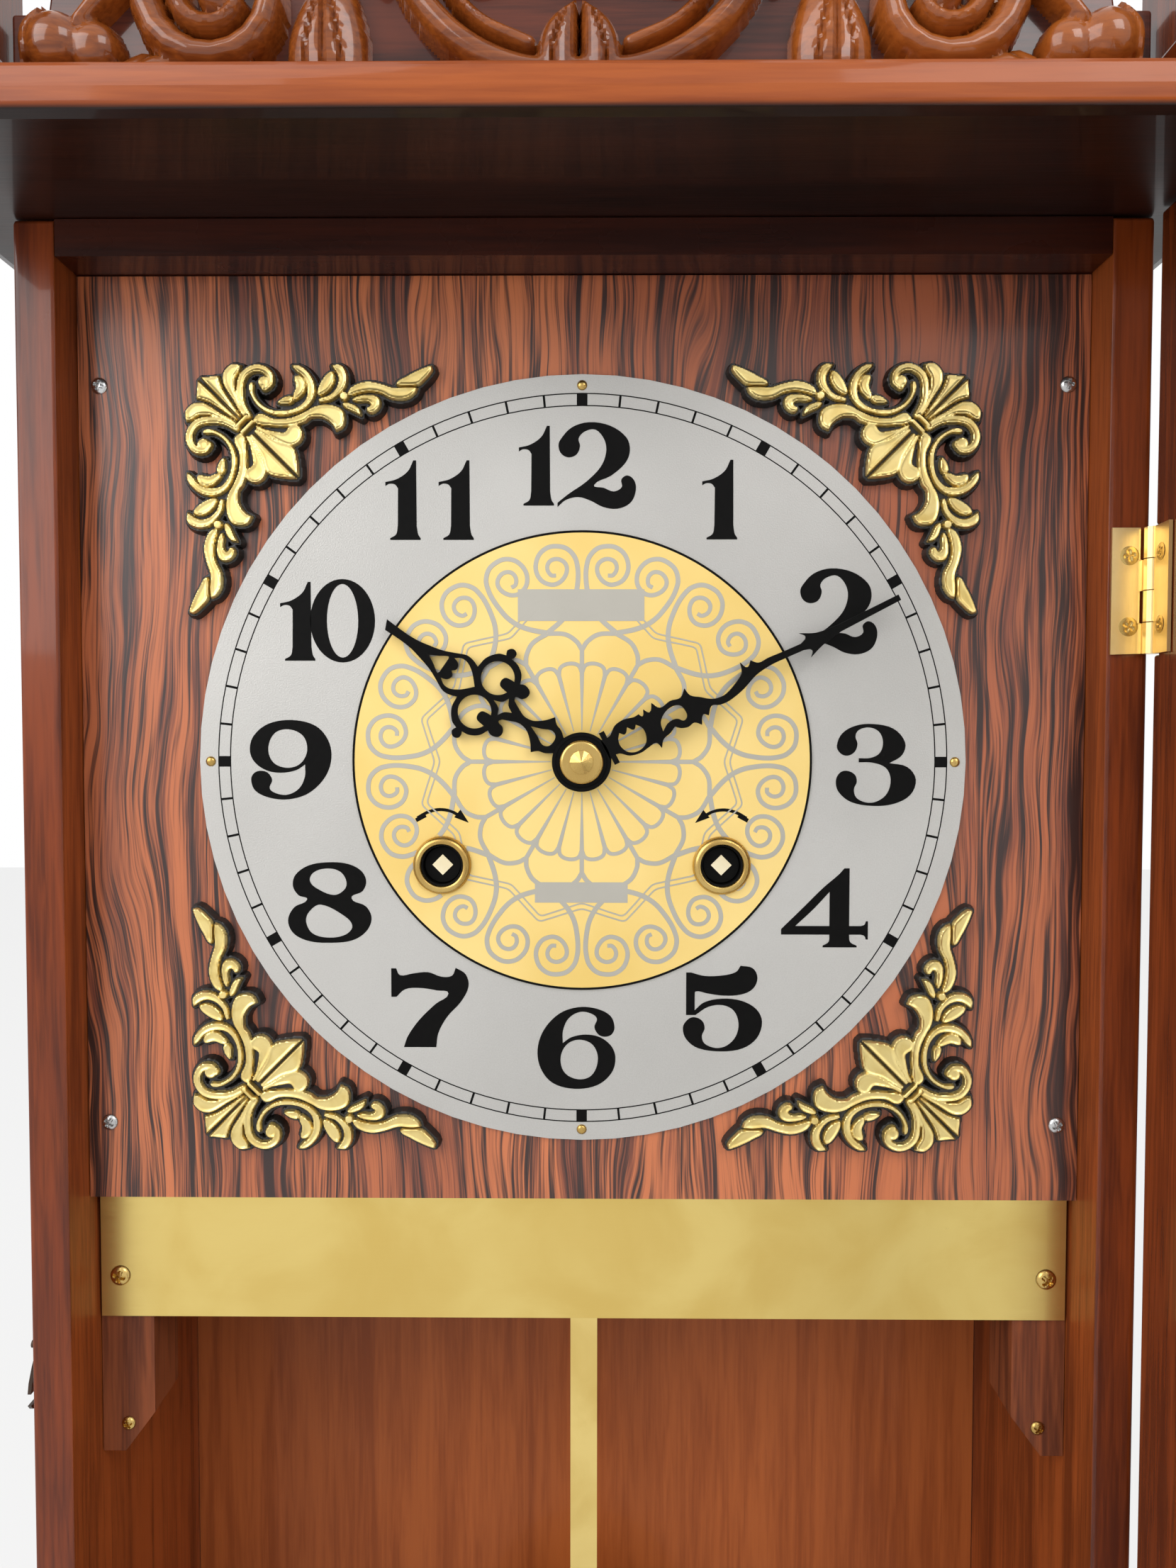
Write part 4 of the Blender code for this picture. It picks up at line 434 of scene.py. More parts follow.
# ---------------------------------------------------------------- shapes
def rounded(points, steps=6, closed=True):
    """Points along a smooth line through the given ones. A point with a third value is a sharp corner."""
    count = len(points)
    spots = [Vector(point[:2]) for point in points]
    line = []
    for i in range(count if closed else count - 1):
        before, start, end, after = (spots[(i + k) % count] for k in (-1, 0, 1, 2))
        chord = end - start
        straight = len(points[i]) > 2, len(points[(i + 1) % count]) > 2
        first, last = not closed and i == 0, not closed and i == count - 2
        leave = chord if straight[0] or first else (end - before).normalized() * chord.length
        arrive = chord if straight[1] or last else (after - start).normalized() * chord.length
        if all(straight):
            line.append(start)
            continue
        for k in range(steps):
            t = k / steps
            line.append(
                start * (2 * t**3 - 3 * t**2 + 1)
                + leave * (t**3 - 2 * t**2 + t)
                + end * (3 * t**2 - 2 * t**3)
                + arrive * (t**3 - t**2)
            )
    if not closed:
        line.append(spots[-1])
    return line


def ellipse(centre, across, up, steps=32):
    """An upright ellipse with its two radii; a circle where they are the same."""
    angles = [2 * math.pi * k / steps for k in range(steps)]
    return [Vector((centre[0] + across * math.cos(a), centre[1] + up * math.sin(a))) for a in angles]


def shown(name, mesh, paint, body="case", replaced=()):
    """Puts a mesh in the scene as a piece that rides on a body."""
    if paint is not None:
        mesh.materials.append(paint)
    mesh.shade_smooth()
    mesh.set_sharp_from_angle(angle=math.radians(35))
    made = bpy.data.objects.new(name, mesh)
    bpy.context.scene.collection.objects.link(made)
    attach(made, body)
    if replaced:
        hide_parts(*replaced)
    return made


def cut_sheet(name, loops, front, back, edge=0.0):
    """A flat sheet with outlines in millimetres across and up; a loop inside another is a hole."""
    curve = bpy.data.curves.new(name, "CURVE")
    curve.dimensions = "2D"
    curve.fill_mode = "BOTH"
    curve.extrude = (back - front) / MM / 2 - edge
    curve.bevel_depth = edge
    curve.bevel_resolution = 1
    curve.offset = -edge
    for loop in loops:
        spline = curve.splines.new("POLY")
        spline.points.add(len(loop) - 1)
        spline.use_cyclic_u = True
        for knot, spot in zip(spline.points, loop):
            knot.co = (spot[0], spot[1], 0.0, 1.0)
    maker = bpy.data.objects.new(name, curve)
    bpy.context.scene.collection.objects.link(maker)
    mesh = bpy.data.meshes.new_from_object(maker.evaluated_get(bpy.context.evaluated_depsgraph_get()))
    bpy.data.objects.remove(maker)
    bpy.data.curves.remove(curve)
    upright = Matrix(((MM, 0, 0, 0), (0, 0, -MM, (front + back) / 2), (0, MM, 0, 0), (0, 0, 0, 1)))
    mesh.transform(upright)
    return mesh


LEVEL_STEP = 0.0000004  # no two crossing lines lie at the same level
LINE_BEVEL = 0.06  # millimetres, on each side of a printed line


class Bands:
    """Printed lines in millimetres: each is a low band with bevelled sides along a path."""

    def __init__(self, front, depth=0.00006):
        self.front = front
        self.depth = depth
        self.lines = 0
        self.points = []
        self.faces = []

    def line(self, path, widths, closed=False):
        """One band along the path; widths is one width, or the widths of its two ends."""
        wide, narrow = widths if isinstance(widths, tuple) else (widths, widths)
        count = len(path)
        first = len(self.points)
        self.lines += 1
        top = self.depth + self.lines * LEVEL_STEP
        for i, spot in enumerate(path):
            before = path[i - 1] if closed or i else spot
            after = path[(i + 1) % count] if closed or i < count - 1 else spot
            side = (Vector(after) - Vector(before)).normalized().orthogonal()
            half = (wide + (narrow - wide) * i / (count - 1)) / 2
            bevel = min(LINE_BEVEL, half * 0.3)
            for offset, level in ((-half, SINK), (bevel - half, -top), (half - bevel, -top), (half, SINK)):
                at = Vector(spot) + side * offset
                self.points.append((at.x * MM, self.front + level, at.y * MM))
        for i in range(count if closed else count - 1):
            here = first + 4 * i
            there = first + 4 * ((i + 1) % count)
            for k in range(3):
                self.faces.append((here + k, here + k + 1, there + k + 1, there + k))

    def mesh(self, name, holes=(), reach=0.0):
        """The lines as a mesh, left out within reach of the middle of each hole."""
        kept = []
        for face in self.faces:
            x, _, z = self.points[face[0]]
            if all(math.hypot(x - hole[0], z - hole[1]) > reach for hole in holes):
                kept.append(face)
        mesh = bpy.data.meshes.new(name)
        mesh.from_pydata(self.points, [], kept)
        mesh.validate()
        drop_loose_points(mesh)
        return mesh


TIP_RADIUS = 0.0003  # a turned profile that starts nearer its axis than this is closed there


def turned(name, centre, profile, sides=72):
    """A turned piece on an axis along y. The profile is (radius, depth) in metres, from front to back."""
    points = []
    for radius, depth in profile:
        for k in range(sides):
            angle = 2 * math.pi * k / sides
            points.append((centre[0] + radius * math.cos(angle), depth, centre[1] + radius * math.sin(angle)))
    faces = []
    for ring in range(len(profile) - 1):
        for k in range(sides):
            here = ring * sides + k
            there = ring * sides + (k + 1) % sides
            faces.append((here, there, there + sides, here + sides))
    if profile[0][0] < TIP_RADIUS:
        faces.append(tuple(range(sides - 1, -1, -1)))
    mesh = bpy.data.meshes.new(name)
    mesh.from_pydata(points, [], faces)
    mesh.validate()
    return mesh


def drop_loose_points(mesh):
    """Takes out the points that no face uses."""
    shell = bmesh.new()
    shell.from_mesh(mesh)
    bmesh.ops.delete(shell, geom=[point for point in shell.verts if not point.link_faces], context="VERTS")
    shell.to_mesh(mesh)
    shell.free()


def flip_outward(mesh):
    """Turns every face of a mesh the same way, outward."""
    shell = bmesh.new()
    shell.from_mesh(mesh)
    bmesh.ops.recalc_face_normals(shell, faces=shell.faces)
    shell.to_mesh(mesh)
    shell.free()


# ---------------------------------------------------------------- camera, light and floor
CAMERA_AT = Vector((0.00451, FACE - 0.33877, 0.00651))
CAMERA_PITCH = -0.0381
CAMERA_YAW = -0.0081
CAMERA_ROLL = 0.0009
SENSOR = 36.0
LENS = SENSOR * 1663.2 / 1659


def set_camera():
    """A camera just before the dial, tipped and turned a little off the straight view."""
    ahead = Vector(
        (
            math.sin(CAMERA_YAW) * math.cos(CAMERA_PITCH),
            math.cos(CAMERA_YAW) * math.cos(CAMERA_PITCH),
            math.sin(CAMERA_PITCH),
        )
    )
    level = Vector((math.cos(CAMERA_YAW), -math.sin(CAMERA_YAW), 0.0))
    upright = level.cross(ahead)
    right = level * math.cos(CAMERA_ROLL) + upright * math.sin(CAMERA_ROLL)
    up = upright * math.cos(CAMERA_ROLL) - level * math.sin(CAMERA_ROLL)
    lens = bpy.data.cameras.new("camera")
    lens.sensor_fit = "HORIZONTAL"
    lens.sensor_width = SENSOR
    lens.lens = LENS
    lens.clip_start = 0.01
    lens.clip_end = 50.0
    camera = bpy.data.objects.new("camera", lens)
    camera.matrix_world = Matrix((right, up, -ahead)).transposed().to_4x4()
    camera.location = CAMERA_AT
    bpy.context.scene.collection.objects.link(camera)
    bpy.context.scene.camera = camera


def area_light(name, place, aim, size, power):
    """A soft rectangular lamp that points at a place."""
    data = bpy.data.lights.new(name, "AREA")
    data.shape = "RECTANGLE"
    data.size, data.size_y = size
    data.energy = power
    light = bpy.data.objects.new(name, data)
    light.location = place
    light.rotation_euler = (Vector(aim) - Vector(place)).to_track_quat("-Z", "Y").to_euler()
    bpy.context.scene.collection.objects.link(light)


FLOOR_REACH = 4.0


def set_floor():
    """A pale floor just under the lowest part."""
    mesh = bpy.data.meshes.new("floor")
    level = LOWEST - MM
    ring = ((-1, -1), (1, -1), (1, 1), (-1, 1))
    mesh.from_pydata([(x * FLOOR_REACH, y * FLOOR_REACH, level) for x, y in ring], [], [(0, 1, 2, 3)])
    mesh.materials.append(plain_floor())
    floor = bpy.data.objects.new("floor", mesh)
    bpy.context.scene.collection.objects.link(floor)


def set_room():
    """A world that is white where it is seen or mirrored, and a softer light on the clock."""
    world = bpy.data.worlds.new("room")
    bpy.context.scene.world = world
    work = NodeWork(world)
    seen = work.rays("Camera")
    for kind in ("Transmission", "Glossy"):
        seen = seen.maths("MAXIMUM", seen, work.rays(kind))
    light = work.node("Background", {}, {0: WHITE, 1: 0.55})
    backdrop = work.node("Background", {}, {0: WHITE, 1: 1.0})
    work.node("OutputWorld", {}, {0: work.node("MixShader", {}, {0: seen, 1: light, 2: backdrop})})
    bpy.context.scene.view_settings.view_transform = "Standard"


def set_stage():
    """The floor, two soft lamps and the pale room."""
    set_floor()
    area_light("window", (-1.3, -1.5, 0.9), (0.0, -0.1, 0.0), (1.4, 1.6), 26.0)
    area_light("lamp", (1.0, -1.7, 1.3), (0.0, -0.1, 0.0), (1.0, 1.0), 16.0)
    set_room()


# ---------------------------------------------------------------- dial
PRINT_RISE = 0.00010
PLAQUE_RISE = 0.00009
TRACK_OUTER = 104.6
TRACK_INNER = 101.2
GOLD_EDGE = 65.9
PIN_CIRCLE = 106.9
PIN_RADIUS = 0.00147


def at_angle(radius, degrees):
    """A point at a radius and an angle clockwise from twelve."""
    turn = math.radians(degrees)
    return (radius * math.sin(turn), radius * math.cos(turn))


def shifted(loop, across, up):
    """A loop moved across and up."""
    return [(spot[0] + across, spot[1] + up) for spot in loop]


def one(right, foot):
    """A numeral one whose stem's right edge and foot are at these places."""
    outline = [
        (0, 22.5, 0), (0.1, 4.0, 0), (0.5, 1.6), (1.2, 0.5, 0), (1.2, 0, 0), (-7.5, 0, 0), (-7.5, 0.5, 0),
        (-5.8, 1.6), (-5.3, 4.0, 0), (-5.2, 14.6, 0), (-6.1, 15.7), (-7.6, 15.9), (-8.8, 15.3, 0),
        (-8.8, 16.4, 0), (-5.6, 17.2), (-2.4, 19.4), (-0.8, 22.5, 0),
    ]
    return [shifted(rounded(outline, 5), right, foot)]


def two(left, foot):
    """A numeral two whose left edge and foot are at these places."""
    outline = [
        (-6.7, 89.6), (-6.3, 91.4), (-3, 95), (2, 96.5), (8, 95.5), (12.6, 92.2), (13.6, 88.5), (12.3, 85),
        (8.2, 81.4), (3.4, 78.8), (6.2, 78.0), (9, 77.0), (11.3, 78.2), (11.2, 80.4), (13, 81.5),
        (15, 79.8), (15.2, 76.6), (13.6, 73.6), (10, 72.1), (6, 72.6), (2.6, 74.3), (-1, 75.4),
        (-4.6, 74.6), (-7, 72.6, 0), (-7, 73.8, 0), (-3.7, 76.4), (1, 79.6), (5.2, 83.8), (6.8, 87.8),
        (6.4, 91.4), (3.8, 94.4), (0.6, 93.8), (-1, 91.9), (-0.6, 89.8), (-1.5, 87.5), (-3.7, 86.6),
        (-5.8, 87.5),
    ]
    return [shifted(rounded(outline, 4), left + 7, foot - 72.2)]


def three():
    """The numeral three."""
    outline = [
        (73.1, 4.7), (74.6, 8.2), (78.4, 10.4), (83.4, 10.9), (89.2, 9.6), (92.6, 5.7), (91.8, 2.0),
        (88.2, -0.3, 0), (93.3, -1.4), (95.8, -5), (94.3, -9.4), (89.6, -12), (83.5, -12.6), (77.3, -11.5),
        (73.7, -8.6), (72.9, -5.4), (74, -3.1), (76, -2.5), (78.3, -3.6), (78.9, -5.7), (78.1, -7.8),
        (78.8, -10.2), (81.6, -11.6), (84.7, -11.3), (87.6, -9), (88.6, -5), (87.2, -1.7), (83.4, -0.2),
        (79.4, -0.1, 0), (79.4, 1.1, 0), (82.8, 1.2), (85.4, 2.6), (86.3, 5.6), (85.2, 8.6), (82.4, 9.9),
        (79.4, 9.2), (78.4, 7.4), (79, 5.2), (78.2, 2.9), (76.1, 1.8), (74, 2.6),
    ]
    return [rounded(outline, 4)]


def four():
    """The numeral four, with its counter."""
    outline = [
        (77.1, -30.6, 0), (77.1, -47.3, 0), (80.4, -47.3, 0), (81.5, -46.9), (81.9, -45.9, 0),
        (82.5, -45.9, 0), (82.5, -51.2, 0), (81.9, -51.2, 0), (81.5, -50.2), (80.4, -49.8, 0),
        (77.1, -49.8, 0), (77.4, -51.9), (79.3, -53.0, 0), (79.3, -53.5, 0), (69.5, -53.5, 0),
        (69.5, -53.0, 0), (71.2, -51.9), (71.4, -49.8, 0), (57.5, -49.8, 0), (57.5, -48.2, 0),
        (63.5, -42.3), (69.6, -36.2), (74, -32.4), (75.6, -30.6, 0),
    ]
    counter = [(71.4, -37.4, 0), (71.4, -47.3, 0), (61.6, -47.3, 0), (66.8, -42.4)]
    return [rounded(outline, 4), rounded(counter, 4)]


def five():
    """The numeral five."""
    outline = [
        (30.2, -60.9, 0), (31.6, -60.9, 0), (35.6, -61.9), (41, -61.7), (44.6, -60.7), (45.9, -58.9, 0),
        (49.4, -59.6), (50.8, -62.4), (49.5, -65.6), (46, -67.3), (41, -67.6), (36.4, -67), (33, -66.4),
        (32.7, -67.8, 0), (32.7, -71.9, 0), (35.4, -69.6), (40.4, -68.5), (46.2, -69.1), (50.6, -71.6),
        (52.2, -75.3), (50.7, -80), (46.6, -83), (40.5, -83.9), (33.8, -83), (30.3, -80.4), (29.3, -77),
        (30.6, -74.7), (32.5, -73.9), (34.9, -75), (35.6, -77.2), (34.8, -79.4), (35.6, -81.6),
        (38.8, -82.9), (42, -82.2), (44.6, -79.5), (45.4, -75.7), (44, -72), (40.8, -70.4), (36.6, -70.9),
        (32.9, -73.3, 0), (30.2, -73.3, 0),
    ]
    return [rounded(outline, 4)]


def six():
    """The numeral six, with its counter."""
    outline = [
        (9.5, -76.9), (8.3, -73.6), (4.2, -71.5), (-1, -71.1), (-6.5, -73), (-11, -77.8), (-12.8, -83.5),
        (-11.9, -89), (-8.4, -93.3), (-2, -95), (4.5, -93.9), (8.6, -90.4), (9.8, -86.2), (8.7, -82.6),
        (5.4, -79.9), (1.2, -79.1), (-3, -79.9), (-5.5, -81.6, 0), (-5.4, -77.9), (-3.8, -74.4),
        (-0.6, -72.5), (2.6, -72.9), (4.4, -74.4), (3.7, -76.9), (4.9, -79.1), (6.8, -79.7), (8.7, -79),
    ]
    counter = [
        (-0.5, -80.6), (-4.2, -81.9), (-6.1, -85.8), (-5, -90.2), (-1, -92.2), (2.9, -91), (4.7, -86.4),
        (3.3, -82.2),
    ]
    return [rounded(outline, 5), rounded(counter, 6)]


def seven():
    """The numeral seven."""
    outline = [
        (-55.2, -59.9, 0), (-53.8, -59.9, 0), (-52.6, -61.9), (-49, -61.4), (-44.5, -61), (-40.7, -62.3),
        (-37.6, -62), (-36.5, -59.7, 0), (-33.6, -61.6), (-32.8, -65.2), (-35, -69.6), (-39, -74),
        (-41.6, -78.8), (-42.2, -82.9, 0), (-51.6, -82.9, 0), (-50.4, -79.6), (-47, -74.8), (-42.3, -70.2),
        (-38.6, -67.2), (-42, -66.3), (-47, -65.6), (-51.2, -66), (-53.7, -68.2, 0), (-55.2, -68.2, 0),
    ]
    return [rounded(outline, 4)]


def eight():
    """The numeral eight, with its two counters."""
    outline = [
        (-72.9, -29.1), (-78.8, -30), (-82.7, -32.7), (-83.5, -36), (-81.9, -38.7), (-79.4, -39.9),
        (-83.2, -42.2), (-85, -46), (-83.4, -49.8), (-79, -52), (-72.9, -52.5), (-66.5, -51.8),
        (-62.4, -49.2), (-60.8, -45.4), (-62.4, -41.9), (-66.6, -39.5), (-63.4, -37.5), (-62.3, -34.6),
        (-63.7, -31.6), (-67.5, -29.6),
    ]
    upper = [
        (-73.3, -30.9), (-77.4, -32), (-78.6, -34.5), (-76.4, -36.8), (-71.6, -38.6), (-68.6, -37),
        (-68, -34.7), (-69.7, -31.9),
    ]
    lower = [
        (-75.6, -41.4), (-78.8, -43.4), (-79.8, -46.3), (-77.9, -49.8), (-73, -51), (-68.2, -50),
        (-66.4, -47.4), (-69.4, -44.2),
    ]
    return [rounded(outline, 5), rounded(upper, 5), rounded(lower, 5)]


def nine():
    """A six turned half round."""
    across, up = -83.85, 0.5
    turned_six = []
    for loop in six():
        turned_six.append([(across - (x + 1.5) * 1.04, up - (z + 83.05) * 0.955) for x, z in loop])
    return turned_six


def nought():
    """The nought of the ten."""
    return [ellipse((-68.6, 40.3), 9.3, 11.9, 48), ellipse((-68.6, 40.3), 4.5, 10.5, 40)]


def hour_numerals():
    """The twelve black numerals; each digit is a piece of its own."""
    drawn = {
        1: [one(43.0, 63.4)],
        2: [two(62.0, 30.9)],
        3: [three()],
        4: [four()],
        5: [five()],
        6: [six()],
        7: [seven()],
        8: [eight()],
        9: [nine()],
        10: [one(-77.7, 28.9), nought()],
        11: [one(-47.3, 63.3), one(-32.1, 63.3)],
        12: [one(-9.2, 73.0), two(-7.0, 72.2)],
    }
    for hour, digits in drawn.items():
        for place, loops in zip("ab", digits):
            name = f"numeral_{hour}" if len(digits) == 1 else f"numeral_{hour}{place}"
            mesh = cut_sheet(name, loops, FACE - PRINT_RISE, FACE + SINK, 0.03)
            shown(name, mesh, BLACK_PRINT)


def minute_track():
    """The ring of minute marks and the black border of the gold centre."""
    track = Bands(FACE)
    for radius in (TRACK_OUTER, TRACK_INNER):
        track.line(ellipse((0, 0), radius, radius, 180), 0.38, closed=True)
    for minute in range(60):
        inner, outer = (at_angle(radius, minute * 6) for radius in (TRACK_INNER, TRACK_OUTER))
        track.line([inner, outer], 3.1 if minute % 5 == 0 else 0.7)
    shown("minute_track", track.mesh("minute_track"), BLACK_PRINT)
    border = Bands(CENTRE_FACE)
    border.line(ellipse((0, 0), GOLD_EDGE - 0.3, GOLD_EDGE - 0.3, 180), 0.7, closed=True)
    shown("gold_centre_border", border.mesh("border"), BLACK_PRINT)


def dial_pins():
    """Four little round-headed pins that hold the dial."""
    for name, degrees in (("top", 0), ("right", 90), ("bottom", 180), ("left", 270)):
        across, up = at_angle(PIN_CIRCLE, degrees)
        head = [(0.0002, FACE - 0.0007), (0.0008, FACE - 0.00062), (0.0012, FACE - 0.0004)]
        profile = head + [(PIN_RADIUS, FACE), (PIN_RADIUS, FACE + SINK)]
        shown(f"dial_pin_{name}", turned("pin", (across * MM, up * MM), profile, 24), BRASS)


def spun(path, degrees):
    """A path turned clockwise round the dial's centre."""
    turn = math.radians(degrees)
    cosine, sine = math.cos(turn), math.sin(turn)
    return [(x * cosine + z * sine, -x * sine + z * cosine) for x, z in path]


def well(side):
    """The middle, the front and the radius of a winding hole's grommet."""
    low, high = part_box(f"winding_grommet_{side}")
    return ((low.x + high.x) / 2, (low.z + high.z) / 2), low.y, (high.x - low.x) / 2


def smooth_path(points, steps):
    """An open path as plain pairs, smooth through its points."""
    return [tuple(spot) for spot in rounded(points, steps, closed=False)]


def petals(lines):
    """Twelve mirrored pairs of spirals and two rings of petals, with the ribs between them."""
    curl_points = [
        (-7.4, 53.1), (-8.8, 53.2), (-9.9, 55.0), (-9.3, 57.0), (-7.2, 57.8), (-5.1, 56.9), (-4.3, 55.2),
        (-4.8, 53.0), (-6.5, 51.1), (-8.8, 50.5), (-11.7, 51.8), (-13.2, 55.0), (-12.4, 58.7),
        (-10.0, 60.9), (-7.2, 61.4), (-4.3, 60.7), (-2.1, 58.4), (-1.3, 55.7), (-1.1, 53.0), (-1.4, 49.6),
        (-2.1, 46.2), (-3.6, 43.0), (-6.0, 40.1), (-9.8, 36.8),
    ]
    curl = smooth_path(curl_points, 5)
    half_arch = ((32, 0), (34.4, 2.6), (36.7, 7.5), (37.9, 15))
    large = smooth_path([at_angle(radius, angle) for radius, angle in half_arch], 6)
    arch = ((25.4, 0), (27.6, 2.2), (28.3, 7.5), (27.6, 12.8), (25.4, 15))
    small = smooth_path([at_angle(radius, angle) for radius, angle in arch], 5)
    for turn in range(0, 360, 30):
        for path, width in ((curl, (1.2, 1.5)), (large, 1.35)):
            lines.line(spun(path, turn), width)
            lines.line(spun([(-x, z) for x, z in path], turn), width)
        lines.line([at_angle(32.6, turn), at_angle(27, turn)], 1.3)
        for half in (0, 15):
            lines.line(spun(small, turn + half), 1.15)
            lines.line([at_angle(26.2, turn + half), at_angle(9, turn + half)], (1.35, 0.3))


def ribbon(lines):
    """Two thin lines side by side that run in twelve blunt points between the petals and the spirals."""
    for gap in (-0.8, 0.8):
        corners = []
        for turn in range(0, 360, 30):
            corners += [at_angle(41.5 + gap, turn), at_angle(47 + gap, turn + 15)]
        knots = []
        for i, corner in enumerate(corners):
            here, before, after = Vector(corner), Vector(corners[i - 1]), Vector(corners[(i + 1) % 24])
            middle = here.lerp((before + after) / 2, 0.05)
            knots += [here.lerp(before, 0.2), middle, here.lerp(after, 0.2)]
        lines.line(rounded([tuple(knot) for knot in knots], 4), 0.5, closed=True)


def filigree():
    """The silver pattern on the gold centre, cut round the winding holes, and two blank plaques over it."""
    lines = Bands(CENTRE_FACE)
    petals(lines)
    ribbon(lines)
    wells = [well(side) for side in ("left", "right")]
    mesh = lines.mesh("filigree", [centre for centre, front, radius in wells], wells[1][2] - 0.6 * MM)
    shown("gold_centre_filigree", mesh, SILVER_PRINT)
    plaques = {"upper": (-18.3, 17.8, 40.2, 49.2), "lower": (-13.5, 13.2, -40.6, -34.7)}
    for name, (left, right, low, high) in plaques.items():
        box = [(left, low), (right, low), (right, high), (left, high)]
        mesh = cut_sheet(f"plaque_{name}", [box], CENTRE_FACE - PLAQUE_RISE, CENTRE_FACE + SINK)
        shown(f"blank_plaque_{name}", mesh, SILVER_PRINT)


def winding_arrows():
    """Black curved arrows over the two winding holes."""
    arrows = Bands(CENTRE_FACE, PLAQUE_RISE)
    for side in (-1, 1):
        shaft = smooth_path([(47.3, -16.2), (44.2, -14.5), (41, -13.8), (37.6, -14.3), (34.6, -16)], 5)
        arrows.line([(side * x, z) for x, z in shaft], 0.95)
        arrows.line([(side * 47.7, -16.9), (side * 44.9, -15.4)], 1.2)
        arrows.line([(side * 35.8, -14.9), (side * 32.6, -17.5)], (2.9, 0.1))
    shown("winding_arrows", arrows.mesh("arrows"), BLACK_PRINT)


WELL_BORE = 0.00595
COLLAR_LIP = 0.0008
WOUND_BY_TIME = "left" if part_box("time_winding_arbor")[0].x < 0 else "right"


def winding_wells():
    """The rounded brass collar of each winding hole, and a black sleeve and a black disc round the winding
    square as painted shade inside the hole.
    """
    foot = CENTRE_FACE + SINK
    for side in ("left", "right"):
        centre, front, edge = well(side)
        rise = foot - front
        collar = [(WELL_BORE, front + 0.0095), (WELL_BORE, front + 0.0010)]
        collar += [(WELL_BORE + 0.0003, front + 0.0002), (WELL_BORE + COLLAR_LIP, front)]
        for k in range(1, 9):
            lean = k / 8 * math.pi / 2
            width = edge - WELL_BORE - COLLAR_LIP
            out = WELL_BORE + COLLAR_LIP + width * math.sin(lean)
            collar.append((out, front + rise * (1 - math.cos(lean)) * 0.86))
        collar.append((edge, foot))
        mesh = turned("collar", centre, collar)
        shown(f"winding_collar_{side}", mesh, BRASS, "case", [f"winding_grommet_{side}"])
        # painted shade: a black sleeve inside the collar and a black disc behind it, where the hole is dark
        sleeve = [(0.00592, front + 0.0012), (0.0055, front + 0.0014), (0.0054, front + 0.0050)]
        shown(f"winding_shade_sleeve_{side}", turned("sleeve", centre, sleeve), HOLE_SHADE_BLACK)
        train = "time" if side == WOUND_BY_TIME else "strike"
        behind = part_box(f"{train}_winding_arbor")[0].y
        disc = [(0.0021, behind + 0.0004), (0.0051, behind + 0.0003), (0.0053, behind + 0.0006)]
        mesh = turned("disc", centre, disc)
        shown(f"winding_shade_disc_{side}", mesh, HOLE_SHADE_BLACK, f"{train}_winder")


# ---------------------------------------------------------------- hands
def hour_hand_loops():
    """The outline of the hour hand's blade, pointing to twelve."""
    right = [
        (1.4, 68.5, 0), (1.25, 62), (1.5, 58), (2.1, 55), (3.3, 50.4), (4.8, 47), (6.1, 44), (5.9, 41.6),
        (5.2, 39.7, 0), (8.6, 39.2), (11.6, 37), (12.5, 34.9, 0), (13.0, 35.2), (14.0, 35.4), (15.1, 34.2),
        (14.6, 32.8), (13.3, 32.6), (12.5, 33.0, 0), (12.1, 30.6), (10.4, 28.2), (8.0, 27.0, 0),
        (8.6, 25.6), (7.9, 23.6), (6.3, 23.2), (4.8, 24.2), (4.3, 26.0), (3.2, 25.6, 0), (2.2, 23.4),
        (1.3, 21.2), (1.3, 19.4), (1.9, 17.6), (3.9, 15.2), (6.1, 13.5, 0), (4.6, 11.9), (4.0, 10),
        (2.7, 8.2, 0), (2.9, 7.4, 0),
    ]
    left = [(-point[0],) + point[1:] for point in reversed(right[1:])]
    return rounded(right + left + [(-1.4, 67.2, 0)], 4)


def both_sides(loop):
    """A loop and its mirror image."""
    return [loop, [(-spot[0], spot[1]) for spot in loop]]


def hour_hand_openings():
    """What is cut out of the hour hand: two drops, a heart, a diamond and two ringed scrolls."""
    heart = [
        (0, 45.2, 0), (1.2, 44.2), (2.8, 44.9), (3.4, 46.6, 0), (4.5, 44.8), (4.5, 42.8), (3.2, 40.4),
        (1.5, 38.6), (0, 37.2, 0),
    ]
    heart += [(-point[0],) + point[1:] for point in reversed(heart[1:-1])]
    turns = np.linspace(math.radians(-68), math.radians(248), 30)
    ring = [(5.8 + 4.8 * math.cos(a), 33.2 + 4.8 * math.sin(a)) for a in turns]
    tongue = [(4.1, 30.2), (4.5, 31.5), (5.8, 32.0), (7.1, 31.5), (7.5, 30.2)]
    scroll = rounded([ring[0] + (0,)] + ring[1:-1] + [ring[-1] + (0,)] + tongue, 3)
    upper = [
        (0, 53.2, 0), (1.2, 50.8), (2.8, 48.2), (2.3, 47.8, 0), (-2.3, 47.8, 0), (-2.8, 48.2), (-1.2, 50.8),
    ]
    diamond = [
        (0, 30.6, 0), (1.0, 28.3), (2.9, 27.3, 0), (1.1, 26.2), (0, 24.3, 0), (-1.1, 26.2), (-2.9, 27.3, 0),
        (-1.0, 28.3),
    ]
    lower = [
        (0, 17.7, 0), (1.2, 14.6), (2.4, 12.1), (1.8, 10.4), (0, 9.9), (-1.8, 10.4), (-2.4, 12.1),
        (-1.2, 14.6),
    ]
    return [rounded(upper, 5), rounded(heart, 4), *both_sides(scroll), rounded(diamond, 4), rounded(lower, 5)]


